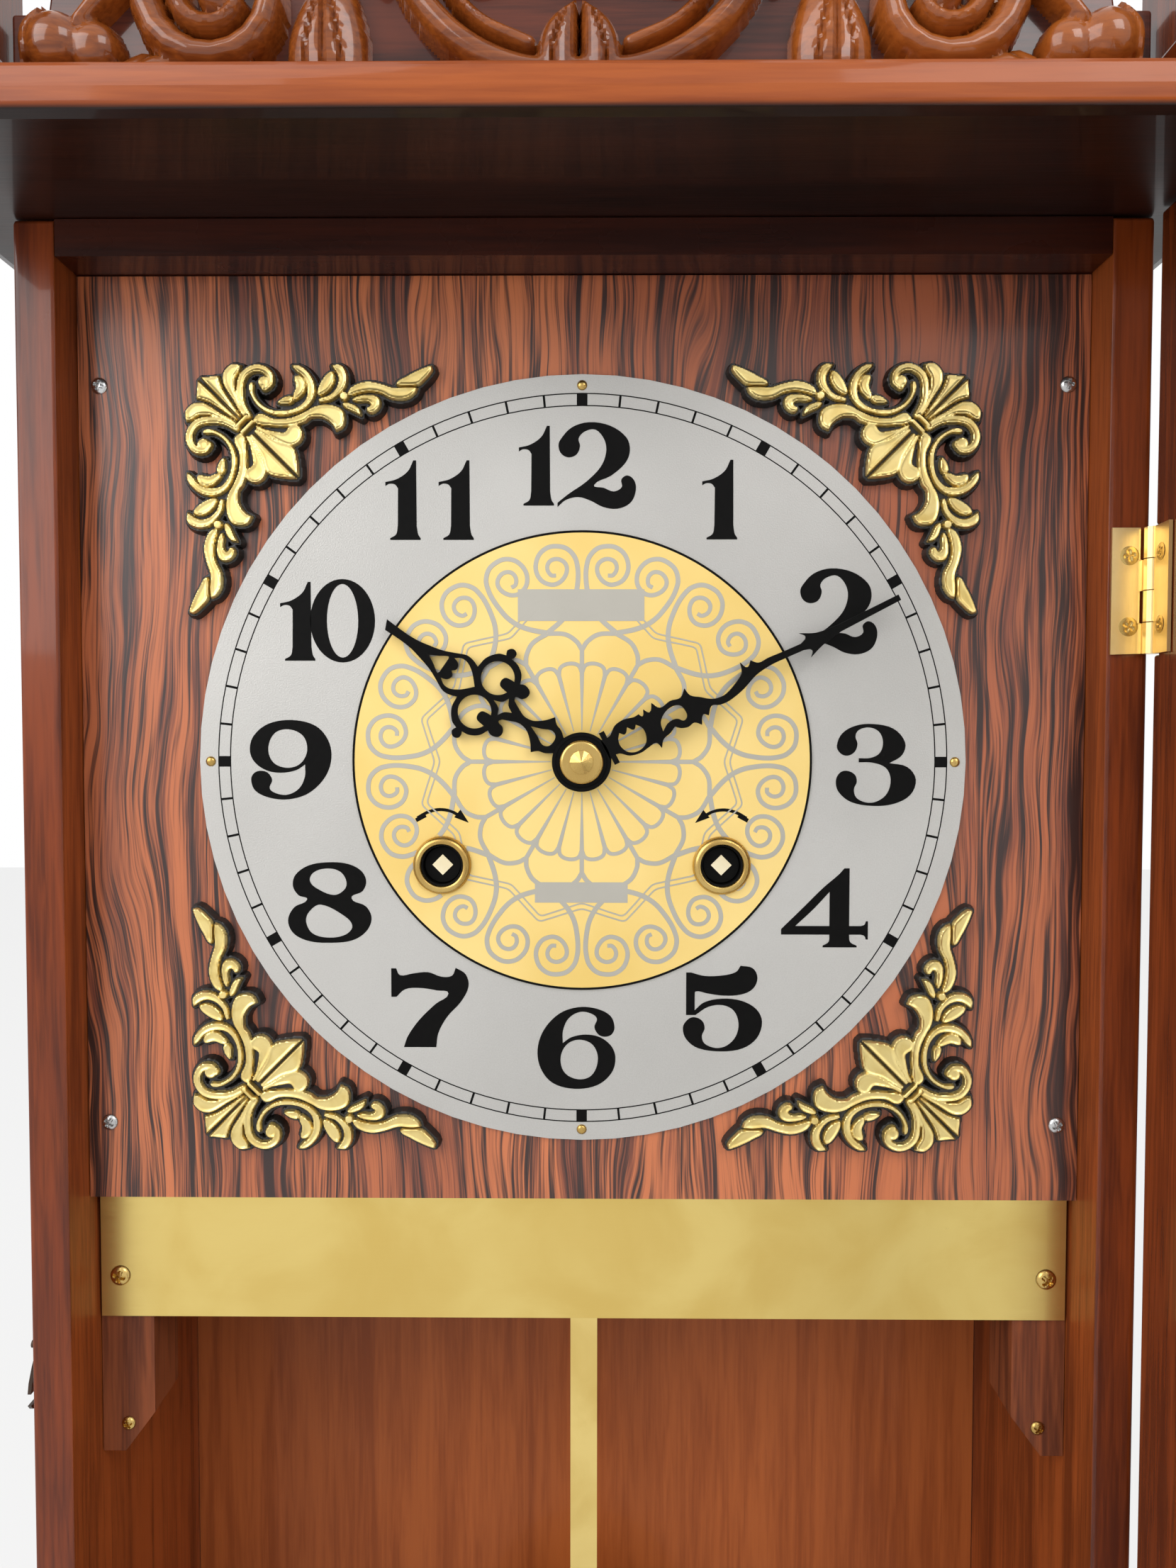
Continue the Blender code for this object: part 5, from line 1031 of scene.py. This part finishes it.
def minute_hand_loops():
    """The minute hand's blade, pointing to twelve, and its two openings."""
    outline = [
        (0.4, 100.4, 0), (0.6, 81.5, 0), (1.7, 75.2), (3.2, 70.9, 0), (1.5, 72.0), (0.5, 70.0, 0),
        (0.2, 65), (0, 60), (0.6, 55), (2.5, 50), (3.6, 45), (3.4, 42), (2.6, 39.8), (4.6, 37.9, 0),
        (3.7, 36.6), (6.1, 35.0, 0), (4.6, 33.4), (4.9, 31.4), (4.3, 29.4), (3.1, 28, 0), (4.1, 26.0),
        (4.8, 23.6), (6.8, 22.0, 0), (4.8, 21.2), (4.9, 19.0), (5.3, 16.2), (4.6, 13.0), (2.8, 10.8),
        (2.5, 9.6, 0), (5, 9.6, 0), (5, 8, 0), (3, 8, 0), (3, 7.4, 0), (-3, 7.4, 0), (-3, 8, 0), (-5, 8, 0),
        (-5, 9.6, 0), (-2.8, 9.6, 0), (-3.2, 10.8), (-4.9, 13), (-5.3, 16), (-4.6, 18.8), (-4.7, 20.4, 0),
        (-3.7, 21.2), (-5.3, 22.2, 0), (-3.8, 23.5), (-5.9, 25.1, 0), (-3.6, 26.6), (-4.0, 30), (-3.5, 33),
        (-5.3, 35.2, 0), (-2.8, 35.8), (-1.0, 38.2), (0.4, 40), (1.3, 42), (1.4, 45), (-0.5, 49.6),
        (-2.0, 51.6), (-4.6, 52.4, 0), (-2.5, 53.6), (-3.8, 55.3, 0), (-2.2, 57), (-2.2, 60), (-1.8, 65),
        (-1.5, 70.0, 0), (-2.6, 72.0), (-4.3, 70.9, 0), (-2.3, 75.2), (-1.5, 81.5, 0), (-1.3, 100.4, 0),
    ]
    comma = [
        (0.3, 32.6), (2.1, 32.3), (2.7, 31), (1.5, 29.7), (1.1, 28.2), (1.5, 26.3), (2.8, 24.4, 0),
        (0.2, 25), (-1.7, 27.2), (-2.3, 29.8), (-1.6, 31.9),
    ]
    eye = [
        (-2.4, 18.4, 0), (-0.9, 19.6), (1.3, 19.7), (3.6, 18.5), (4.5, 15.8), (3.6, 13.2), (1.3, 11.9),
        (-0.9, 12.1), (-2.4, 13.2, 0), (-1.4, 14.5), (-2.9, 15.9, 0), (-1.4, 17.3),
    ]
    return [rounded(outline, 4), rounded(comma, 5), rounded(eye, 4)]


HOUR_HAND_TURN = -55.0  # degrees clockwise from twelve
MINUTE_HAND_TURN = 62.8
HUB_RADIUS = 0.0084


def hands():
    """The blade and the collared hub of each hand, at ten past ten."""
    for name, loops, turn, body, bore in (
        ("hour_hand", [hour_hand_loops(), *hour_hand_openings()], HOUR_HAND_TURN, "hour", 0.0041),
        ("minute_hand", minute_hand_loops(), MINUTE_HAND_TURN, "minute", 0.0030),
    ):
        low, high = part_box(name)
        front, back = low.y, high.y
        pointed = [spun([tuple(spot) for spot in loop], turn) for loop in loops]
        mesh = cut_sheet(f"{name}_blade", pointed, front, back, 0.12)
        shown(f"{name}_blade", mesh, HAND_BLACK, body, [name])
        edge = front + 0.1 * MM
        hub = [
            (bore, back), (bore, edge), (bore + 0.0001, front), (0.0070, front), (0.0071, edge),
            (0.0073, edge), (0.0074, front), (HUB_RADIUS - 0.0002, front), (HUB_RADIUS, front + 0.0002),
            (HUB_RADIUS, back), (bore, back),
        ]
        shown(f"{name}_hub", turned("hub", (0, 0), hub), HAND_BLACK, body)


def hand_nut():
    """A domed washer and a pointed nut, both turned brass."""
    low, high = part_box("hand_nut")
    back, length = high.y, high.y - low.y
    rim = low.y + length * 0.52
    washer = [(0.0030, rim), (0.0051, rim), (0.0054, rim), (0.0058, rim + 0.0002), (0.0060, rim + 0.0004)]
    washer += [(0.0061, rim + 0.0007), (0.0061, back), (0.0015, back)]
    shown("hand_nut_washer", turned("washer", (0, 0), washer), BRASS, "minute", ["hand_nut"])
    cone = [(0.0002, low.y), (0.0033, low.y + length * 0.3), (0.0034, rim + 0.0001)]
    facets = shown("hand_nut_cone", turned("cone", (0, 0), cone, 14), BRASS, "minute")
    facets.data.shade_flat()


# ---------------------------------------------------------------- carved and moulded relief
CREASE_WIDTH = 0.35  # millimetres in from a shape's edge over which painted shade darkens the gilt


class Relief:
    """A raised face over a grid. Heights are millimetres above the ground it stands on.

    Each shape put on it grows by grow all round, and rounds over no further in than arris.
    """

    def __init__(self, left, right, low, high, cell, grow=0.0, arris=99.0):
        self.grow = grow
        self.arris = arris
        across = np.arange(left, right + cell / 2, cell)
        up = np.arange(low, high + cell / 2, cell)
        self.x, self.z = np.meshgrid(across, up, indexing="ij")
        self.height = np.zeros(self.x.shape)
        self.inside = np.full(self.x.shape, -99.0)
        self.crease = np.ones(self.x.shape)

    def from_line(self, start, end):
        """Each grid point's distance from a straight line, and how far along the line its foot is."""
        run, rise = end[0] - start[0], end[1] - start[1]
        span = max(run * run + rise * rise, 1e-9)
        share = np.clip(((self.x - start[0]) * run + (self.z - start[1]) * rise) / span, 0, 1)
        return np.hypot(self.x - start[0] - share * run, self.z - start[1] - share * rise), share

    def depth_in(self, loop):
        """How far each grid point is inside a closed outline; negative outside."""
        away = np.full(self.x.shape, 1e9)
        within = np.zeros(self.x.shape, bool)
        for i, end in enumerate(loop):
            start = loop[i - 1]
            away = np.minimum(away, self.from_line(start, end)[0])
            run, rise = end[0] - start[0], end[1] - start[1]
            if abs(rise) > 1e-9:
                level = (start[1] > self.z) != (end[1] > self.z)
                within ^= level & (self.x < run * (self.z - start[1]) / rise + start[0])
        return np.where(within, away, -away)

    def depth_along(self, path, widths):
        """How far each grid point is inside a band along a path; widths are its half-widths at the ends."""
        first, last = widths
        depth = np.full(self.x.shape, -99.0)
        steps = len(path) - 1
        for i in range(steps):
            away, share = self.from_line(path[i], path[i + 1])
            half = first + (last - first) * (i + share) / steps
            depth = np.maximum(depth, half - away)
        return depth

    def swell(self, depth, rise, round_over):
        """Raises a rounded shape where depth is above nought."""
        depth = depth + self.grow
        share = np.clip(depth / min(round_over, self.arris), 0, 1)
        dome = np.sqrt(1 - (1 - share) ** 2)
        raised = np.where(depth > 0, rise * (0.35 + 0.65 * dome), 0.0)
        top = raised > self.height
        self.height = np.where(top, raised, self.height)
        self.crease = np.where(top, 1 - np.clip(depth / CREASE_WIDTH, 0, 1), self.crease)
        self.inside = np.maximum(self.inside, depth)

    def leaf(self, points, rise, steps=4):
        """A shape that swells inside an outline."""
        depth = self.depth_in(rounded(points, steps))
        self.swell(depth, rise, max(depth.max(), 0.3))

    def vine(self, path, widths, rise, steps=6):
        """A band that swells along a path."""
        line = rounded(path, steps, closed=False)
        self.swell(self.depth_along(line, widths), rise, max(widths))

    def ball(self, centre, radius, rise):
        """A round boss."""
        self.swell(radius - np.hypot(self.x - centre[0], self.z - centre[1]), rise, radius)

    def groove(self, path, half, depth, steps=5):
        """A groove cut into what is raised."""
        line = rounded(path, steps, closed=False)
        cut = np.clip(self.depth_along(line, (half, half)) / half, 0, 1)
        self.height = np.where(self.height > 0, np.maximum(self.height - depth * cut, 0.2), self.height)
        self.crease = np.maximum(self.crease, cut)

    def fold(self):
        """Makes the shape the same on both sides of its diagonal."""
        flipped = self.height.T > self.height
        self.crease = np.where(flipped, self.crease.T, self.crease)
        self.height = np.maximum(self.height, self.height.T)
        self.inside = np.maximum(self.inside, self.inside.T)

    def mesh(self, name, heights, ground, keep, sides=(1, 1), both=False):
        """The face as a mesh, with cells off the kept area left out; both adds its mirror image."""
        signs = [(sides[0], sides[1])] + ([(-sides[0], sides[1])] if both else [])
        points, faces, gilt, crease_shade = [], [], [], []
        cells = keep[:-1, :-1] | keep[1:, :-1] | keep[:-1, 1:] | keep[1:, 1:]
        used = np.zeros(keep.shape, bool)
        for here in (used[:-1, :-1], used[1:, :-1], used[:-1, 1:], used[1:, 1:]):
            here |= cells
        index = np.cumsum(used).reshape(used.shape) - 1
        for sign_x, sign_z in signs:
            first = len(points)
            across, up = sign_x * self.x[used] * MM, sign_z * self.z[used] * MM
            points += np.stack((across, ground - heights[used] * MM, up), 1).tolist()
            rows, columns = np.nonzero(cells)
            corners = [index[rows + x, columns + z] for x, z in ((0, 0), (1, 0), (1, 1), (0, 1))]
            if sign_x * sign_z < 0:
                corners.reverse()
            faces += (np.stack(corners, 1) + first).tolist()
            gilt += self.inside[used].tolist()
            crease_shade += self.crease[used].tolist()
        mesh = bpy.data.meshes.new(name)
        mesh.from_pydata(points, [], faces)
        gilt = [0.5 + min(max(value, -2), 2) / 4 for value in gilt]
        for attribute, values in (("gilt", gilt), ("crease_shade", crease_shade)):
            mesh.attributes.new(attribute, "FLOAT", "POINT").data.foreach_set("value", values)
        return mesh


ORNAMENT_SQUARE = (38.8, 113.2)


def corner_ornament():
    """One gilt corner ornament, drawn for the upper right corner of the panel.

    The half above the diagonal is drawn: the leaves at its tip, those on its stem, the two long bands and
    the two fans; then a scroll with its eye. Their middles are dished, and the whole is folded over.
    """
    work = Relief(*ORNAMENT_SQUARE, *ORNAMENT_SQUARE, cell=0.3, grow=0.12, arris=0.5)
    tip = [
        [(52.3, 106.5), (49.5, 108.5), (45.5, 110.5), (42.5, 111.6, 0), (42.2, 110.2), (44.7, 107.3),
         (46.3, 106.1), (50.3, 105.9)],
        [(65.8, 103.4), (64.7, 105.7), (60.7, 107.1), (56.7, 106.5), (52.7, 105.3), (49.1, 105.5),
         (46.4, 105.3, 0), (47.1, 103.8), (49.5, 102.3), (53.5, 102.3), (56.7, 103.8), (59.9, 104.3),
         (63.1, 103.8)],
        [(64.7, 102.2), (60.7, 103.4), (57.9, 103), (56.8, 101.4), (57.5, 99.4), (59.5, 98.3), (60.7, 99.4),
         (59.5, 100.6), (60.7, 101.5), (63.1, 101.4)],
        [(67.4, 101.1), (64.7, 100.8), (62.7, 99.4), (62.3, 97.6, 0), (64.3, 98.6), (66.7, 99.8)],
    ]
    stem = [
        [(70.6, 111.7, 0), (67.8, 111.7), (66.2, 108.9), (66.6, 105.7), (68.6, 103.4), (71, 101.8),
         (74, 101.3, 0), (74.2, 102.2), (71, 103.4), (69, 105.7), (68.6, 108.5)],
        [(74.6, 103.8), (73.8, 106.5), (71.8, 109.3), (70.2, 110.1, 0), (69.6, 108.1), (70.2, 106.1),
         (71.8, 104.2), (73.8, 103.2)],
        [(81, 108.5), (79, 108.5), (77.8, 106.5), (78.2, 104.2), (80.2, 102.2), (81.4, 101.8, 0),
         (81.4, 103.4), (80.6, 105.7)],
        [(85.8, 101.4), (82.2, 103.2), (81.5, 101.4), (84.2, 100.8)],
    ]
    bands = [
        [(81.8, 111.7, 0), (79.8, 111.7), (77.4, 110.1), (75.4, 106.9), (75.4, 103), (77.8, 99.8),
         (81.4, 98.2), (85.4, 97.6), (89, 98.6), (91.7, 100.6), (93.7, 104.2), (93.7, 106.5), (92.7, 106.9),
         (92.5, 103.8), (90.6, 101), (87.8, 99.4), (84.2, 99), (80.6, 99.8), (77.8, 102.2), (77.4, 105.7),
         (78.6, 108.5), (80.6, 110.1)],
        [(92.5, 95.8), (87.8, 94.7), (82.2, 94.7), (78.2, 95.8), (76.6, 97), (73.4, 97.1), (70.6, 95.4),
         (69.4, 93.4, 0), (67.4, 94.6), (66.9, 97), (67.8, 99.4), (71, 100.6), (75, 100.3), (78.2, 98.6),
         (82.2, 97), (87, 96.8), (91, 98.2)],
    ]
    fans = [
        [(92.1, 94.6), (89.4, 93.8), (85.4, 93), (83.8, 93), (82.2, 95), (80.2, 95), (78.8, 92.6),
         (79.8, 90.2), (82.2, 89.2), (85.4, 90.2), (89.4, 92.6)],
        [(92.6, 93.2, 0), (91.7, 93.8), (86, 90.6), (81.6, 88.9), (80.3, 84), (80.2, 80.8, 0)],
        [(96.6, 97, 0), (107.6, 108.4, 0), (106.5, 108.4), (102.5, 108.8, 0), (101.3, 105), (96.3, 97.6, 0)],
        [(100.5, 110.5), (98.5, 112), (96.1, 111.7, 0), (96.5, 110.1), (97.7, 108.1), (97.7, 105),
         (96.5, 101.8), (95.1, 98.2), (95.7, 97.6), (98.5, 102.2), (100.9, 106.1), (101.3, 108.5)],
    ]
    for points in tip + stem + bands + fans:
        work.leaf(points, 1.5)
    scroll = [
        (94.3, 97.6), (96, 101), (96.4, 105), (95.6, 108.5), (93.3, 110.5), (90.6, 110.8), (88.3, 109.3),
        (88, 106.9), (89.4, 105.6),
    ]
    work.vine(scroll, (1.0, 1.1), 1.5)
    work.ball((89.5, 106.9), 1.7, 1.6)
    dish = np.clip((work.inside - 0.5) / 0.5, 0, 1)
    work.height = work.height - 0.3 * dish * (work.height > 0)
    # the dished middles also get painted shade through the crease value
    work.crease = np.maximum(work.crease, 0.35 * dish)
    work.fold()
    for bar in ([(94.5, 97.4), (97.4, 94.5)], [(92.9, 95.8), (95.8, 92.9)]):
        work.vine(bar, (0.55, 0.55), 1.8)
    for centre in ((67, 103), (103, 67)):
        work.ball(centre, 1.2, 1.75)
    return work


ORNAMENT_EDGE = 1.3  # millimetres of black round the gilt leaves
ORNAMENT_BASE = 3.2  # millimetres of black under them
ORNAMENT_FLANK = 0.6  # millimetres over which the black comes up from the panel


def ornaments():
    """The four corner ornaments: one moulding, mirrored into each corner of the panel."""
    work = corner_ornament()
    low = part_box("ornament_upper_right")[0]
    total = (PANEL - low.y) / MM
    raised = work.height * (total - ORNAMENT_BASE) / work.height.max()
    edge = np.clip((work.inside + ORNAMENT_EDGE) / ORNAMENT_FLANK, 0, 1)
    ground = edge * edge * (3 - 2 * edge) * (ORNAMENT_BASE + 0.2) - 0.2
    heights = ground + np.where(work.inside > 0, raised, 0)
    keep = edge > 0
    for height, up in (("upper", 1), ("lower", -1)):
        for side, across in (("left", -1), ("right", 1)):
            name = f"ornament_{height}_{side}"
            mesh = work.mesh(name, heights, PANEL, keep, (across, up))
            shown(f"{name}_moulding", mesh, GILT, "case", [name])


def fan_leaf(k):
    """The outline of one leaf of the crest's middle fan and its vein, counted from the upright one down."""
    lean = math.radians(11 + 22 * k)
    length, half = 47 - 5.5 * k, 6.0 - 0.4 * k
    way = (math.sin(lean), math.cos(lean))
    root = (1.2 * k, 36.0 - k)
    outline = []
    edge = ((0, 0, 0), (0.4, -0.7), (0.8, -1.0), (0.96, -0.5), (1.0, 0), (0.96, 0.5), (0.8, 1.0), (0.4, 0.7))
    for share, beside, *sharp in edge:
        out, side = share * length, beside * half
        across, up = way[0] * out + way[1] * side, way[1] * out - way[0] * side
        outline.append((root[0] + across, root[1] + up, *sharp))
    vein = []
    for share in (0.25, 0.6, 0.9):
        vein.append((root[0] + way[0] * length * share, root[1] + way[1] * length * share))
    return outline, vein


def crest_scrolls():
    """The carved scrolls of the crest, drawn for its right half and mirrored."""
    low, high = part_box("crest_carving")
    foot = low.z / MM
    half = high.x / MM
    work = Relief(0.0, half - 0.5, foot - 0.6, high.z / MM - 0.3, 0.7)

    def up(points):
        """Points given from the carving's foot, put at its height."""
        return [(point[0], point[1] + foot) + tuple(point[2:]) for point in points]

    work.leaf(up([(98, -2), (110, -3), (126, -2), (133, 2), (133, 7), (124, 6), (112, 6), (102, 9)]), 5.0)
    work.ball((124.5, 10.7 + foot), 7.2, 9.0)
    work.ball((115.5, 9.6 + foot), 6.4, 7.6)
    work.leaf(up([(132.6, 3, 0), (133, 14), (127, 20, 0), (128, 12)]), 6.5)
    work.vine(up([(118, 15), (112, 22), (105, 29), (97, 37), (88, 41)]), (2.6, 3.4), 7.5)
    spiral = []
    for k in range(29):
        turn = math.radians(-150 + 20 * k)
        radius = 6.0 + 11.5 * k / 28
        spiral.append((86 + radius * math.cos(turn), 21 + foot + radius * math.sin(turn)))
    work.swell(work.depth_along(spiral, (2.6, 4.3)), 9.2, 4.3)
    work.ball((85.5, 20.5 + foot), 4.8, 9.4)
    work.leaf(up([(68, -2), (76, -4), (96, -3), (106, 3), (100, 8), (86, 2.5), (74, 6)]), 7.0)
    work.leaf(up([(50, 3), (54, -3), (64, -3), (69, 4), (68, 14), (62, 24), (56, 26), (51, 16)]), 8.6)
    for across in (55.5, 59.5, 63.5):
        work.groove(up([(across, -2), (across + 0.6, 8), (60 + (across - 59.5) * 0.4, 20)]), 0.9, 1.6)
    work.vine(up([(1, 2), (14, 3), (27, 9), (37, 19), (43, 31), (43, 44), (36, 53)]), (4.6, 2.6), 8.8)
    work.ball((34.5, 51 + foot), 4.4, 8.0)
    work.vine(up([(12, 10), (24, 16), (32, 26), (34, 36)]), (2.2, 1.4), 6.0)
    work.vine(up([(47, 27), (54, 32), (64, 37), (72, 42), (70, 47)]), (2.4, 1.8), 6.4)
    for k in range(4, -1, -1):
        outline, vein = fan_leaf(k)
        work.leaf(up(outline), 8.4 - 0.5 * k)
        work.groove(up(vein), 0.9, 1.8)
    work.leaf(up([(0, 35, 0), (0, 85, 0), (3.4, 83.2), (5.8, 77), (5.2, 62), (3.0, 46)]), 8.8)
    work.ball((0, 33 + foot), 7.5, 9.6)
    work.leaf(up([(0, -3, 0), (9, -3), (10.5, 5), (8, 14), (0, 20, 0)]), 9.6)
    work.groove(up([(5.2, -2), (6.2, 6), (3.6, 15)]), 0.8, 1.8)
    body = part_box("crest_board")[0].y
    thick = (body - low.y) / MM
    heights = np.where(work.inside > 0, work.height * (thick - 0.05) / work.height.max(), -0.3)
    keep = work.inside > -0.4
    mesh = work.mesh("crest_scrolls", heights, body, keep, both=True)
    shown("crest_scrolls", mesh, CARVED_WOOD, "case", ["crest_carving"])


BLOCK_SIDES = (  # how far out the sides are from the widest, and at what height, in millimetres
    (-1.0, 0.0), (-1.0, 6.0), (-3.0, 8.0), (-3.0, 45.6), (-1.6, 46.6), (-0.5, 47.4), (0.0, 49.0), (0.0, 53.0),
    (-1.2, 54.2),
)


def post_block(middle, half, base):
    """The square foot of a crest post."""
    points, faces = [], []
    for i, (inset, rise) in enumerate(BLOCK_SIDES):
        reach = half + inset * MM
        for k, (x, y) in enumerate(((-1, -1), (1, -1), (1, 1), (-1, 1))):
            points.append((middle.x + x * reach, middle.y + y * reach, base + rise * MM))
            if i:
                here, there = 4 * i - 4 + k, 4 * i - 4 + (k + 1) % 4
                faces.append((here, there, there + 4, here + 4))
    last = len(points) - 4
    faces += [(3, 2, 1, 0), (last, last + 1, last + 2, last + 3)]
    mesh = bpy.data.meshes.new("post")
    mesh.from_pydata(points, [], faces)
    return mesh


def crest_posts():
    """Each corner post: a square block with a small moulding, and a smooth turned finial on it."""
    finial = [
        (6.6, 53.9), (6.6, 55.2), (5.2, 56.4), (4.7, 59.2), (5.6, 61.0), (6.6, 61.6), (6.2, 62.6),
        (8.6, 65.2), (11.0, 69.6), (11.7, 74.8), (10.9, 79.6), (8.4, 84.0), (5.0, 87.2), (3.3, 89.2),
        (3.6, 90.2), (2.3, 91.4), (2.1, 94.0), (3.1, 96.4), (3.2, 98.2), (2.1, 99.8), (0.25, 100.8),
    ]
    profile = [(spot.x * MM, spot.y * MM) for spot in rounded(finial, 4, closed=False)]
    for side in ("left", "right"):
        low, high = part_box(f"crest_post_{side}")
        middle = (low + high) / 2
        mesh = post_block(middle, (high.x - low.x) / 2, low.z)
        replaced = [f"crest_post_{side}"]
        made = shown(f"crest_post_block_{side}", mesh, POST_WOOD, "case", replaced)
        round_arrises(made, 0.6 * MM)
        mesh = turned("finial", (0, 0), list(reversed(profile)), 48)
        stand = Matrix.Rotation(math.radians(90), 4, "X")
        mesh.transform(Matrix.Translation((middle.x, middle.y, low.z)) @ stand)
        shown(f"crest_finial_{side}", mesh, POST_WOOD, "case")


def pendulum_disc():
    """The pendulum's bob: a domed brass disc with a rolled rim."""
    low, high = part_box("pendulum_bob")
    centre = ((low.x + high.x) / 2, (low.z + high.z) / 2)
    dome = [
        (0.1, 0.0), (10, 0.14), (20, 0.8), (28, 2.1), (32.2, 3.3), (33.0, 3.9), (33.8, 3.9), (34.4, 3.7),
        (35.8, 4.0), (37.2, 4.9), (37.9, 6.2), (37.9, 7.2), (37.0, 7.9, 0), (34.0, 8.0, 0), (0.1, 8.0, 0),
    ]
    profile = [(spot.x * MM, low.y + spot.y * MM) for spot in rounded(dome, 4, closed=False)]
    mesh = turned("disc", centre, profile, 96)
    shown("pendulum_disc", mesh, BOB_BRASS, "pendulum", ["pendulum_bob"])


# ---------------------------------------------------------------- screws and small fittings
def screw_head(name, radius, rise):
    """A domed cross-head screw seen from -y, round the origin, with its rim at y = 0."""
    rings, sides = 14, 40
    points = [(0.0, -rise * 0.25, 0.0)]
    for ring in range(1, rings + 1):
        out = radius * ring / rings
        for k in range(sides):
            turn = 2 * math.pi * k / sides
            x, z = out * math.cos(turn), out * math.sin(turn)
            dome = rise * math.sqrt(max(1 - (out / radius) ** 2 * 0.98, 0))
            arm = radius * 0.62
            slot = radius * 0.13
            reach = min(max((arm - max(abs(x), abs(z))) / (radius * 0.12), 0), 1)
            beside = min(max((slot * 1.5 - min(abs(x), abs(z))) / (slot * 0.7), 0), 1)
            points.append((x, -(dome - rise * 0.75 * reach * beside), z))
    faces = [(0, 1 + (k + 1) % sides, 1 + k) for k in range(sides)]
    for ring in range(rings - 1):
        first = 1 + ring * sides
        for k in range(sides):
            here, there = first + k, first + (k + 1) % sides
            faces.append((here, there, there + sides, here + sides))
    mesh = bpy.data.meshes.new(name)
    mesh.from_pydata(points, [], faces)
    return mesh


TOWARDS_VIEWER = Vector((0, -1, 0))
PROUD_RISE = 0.0011
SUNK_RISE = 0.00025  # what a sunk screw stands proud by, so that the hinge still shuts
LEAF_THICKNESS = 0.0013


def set_screw(name, place, radius, turn, paint=BRASS, rise=PROUD_RISE, body="case", aim=TOWARDS_VIEWER):
    """Sets a screw head at a place, turned in its seat by some degrees, with its head towards aim."""
    mesh = screw_head(name, radius, rise)
    swing = TOWARDS_VIEWER.rotation_difference(Vector(aim)).to_matrix().to_4x4()
    mesh.transform(Matrix.Translation(place) @ swing @ Matrix.Rotation(math.radians(turn), 4, "Y"))
    flip_outward(mesh)
    shown(name, mesh, paint, body)


def fixing_screws():
    """The screws of the dial panel, of the brass seat plate and of the battens that carry it."""
    corners = ((-0.138, 0.1072, 20), (0.138, 0.1072, 8), (-0.138, -0.1056, 35), (0.138, -0.1056, 62))
    for k, (x, z, turn) in enumerate(corners):
        set_screw(f"panel_screw_{k + 1}", (x, PANEL, z), 0.00235, turn, ZINC)
    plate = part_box("movement_seat_plate")[0].y
    for side, x, turn in (("left", -0.1378, 15), ("right", 0.1378, 40)):
        set_screw(f"seat_plate_screw_{side}", (x, plate, -0.1537), 0.0030, turn, rise=0.0014)
    for side, x, turn in (("left", -0.1364, 70), ("right", 0.1364, 25)):
        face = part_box(f"batten_{side}")[0].y
        set_screw(f"batten_screw_{side}", (x, face, -0.1995), 0.0021, turn)


def hinge_screws():
    """Two sunk screws in each leaf; the case leaf lies on the front edge of the side board."""
    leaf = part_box("side_board_right")[0].y - LEAF_THICKNESS
    for hinge in ("upper", "lower"):
        low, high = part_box(f"hinge_{hinge}_case_leaf")
        heights = [low.z + (high.z - low.z) * share for share in (0.22, 0.78)]
        for k, z in enumerate(heights):
            place = (low.x + 0.0048, leaf, z)
            set_screw(f"hinge_{hinge}_case_screw_{k + 1}", place, 0.0026, 30 + 50 * k, rise=SUNK_RISE)
        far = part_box(f"hinge_{hinge}_door_leaf")[0].y
        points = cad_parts[f"hinge_{hinge}_door_leaf"].data.vertices
        inner = min(point.co.x for point in points if point.co.y < far + MM)
        for k, z in enumerate(heights):
            name = f"hinge_{hinge}_door_screw_{k + 1}"
            place = (inner, far + 0.0042, z)
            set_screw(name, place, 0.0024, 20 + 40 * k, rise=SUNK_RISE, body="door", aim=(-1, 0, 0))


# ---------------------------------------------------------------- the whole clock
finish_carried_parts()
soften_edges("side_board_left side_board_right cornice base_moulding", 0.0012)
soften_edges("door_stile_hinge door_stile_latch door_rail_top door_rail_bottom crest_board apron", 0.0008)
set_camera()
set_stage()
hour_numerals()
minute_track()
dial_pins()
filigree()
winding_arrows()
winding_wells()
hands()
hand_nut()
ornaments()
crest_scrolls()
crest_posts()
pendulum_disc()
fixing_screws()
hinge_screws()
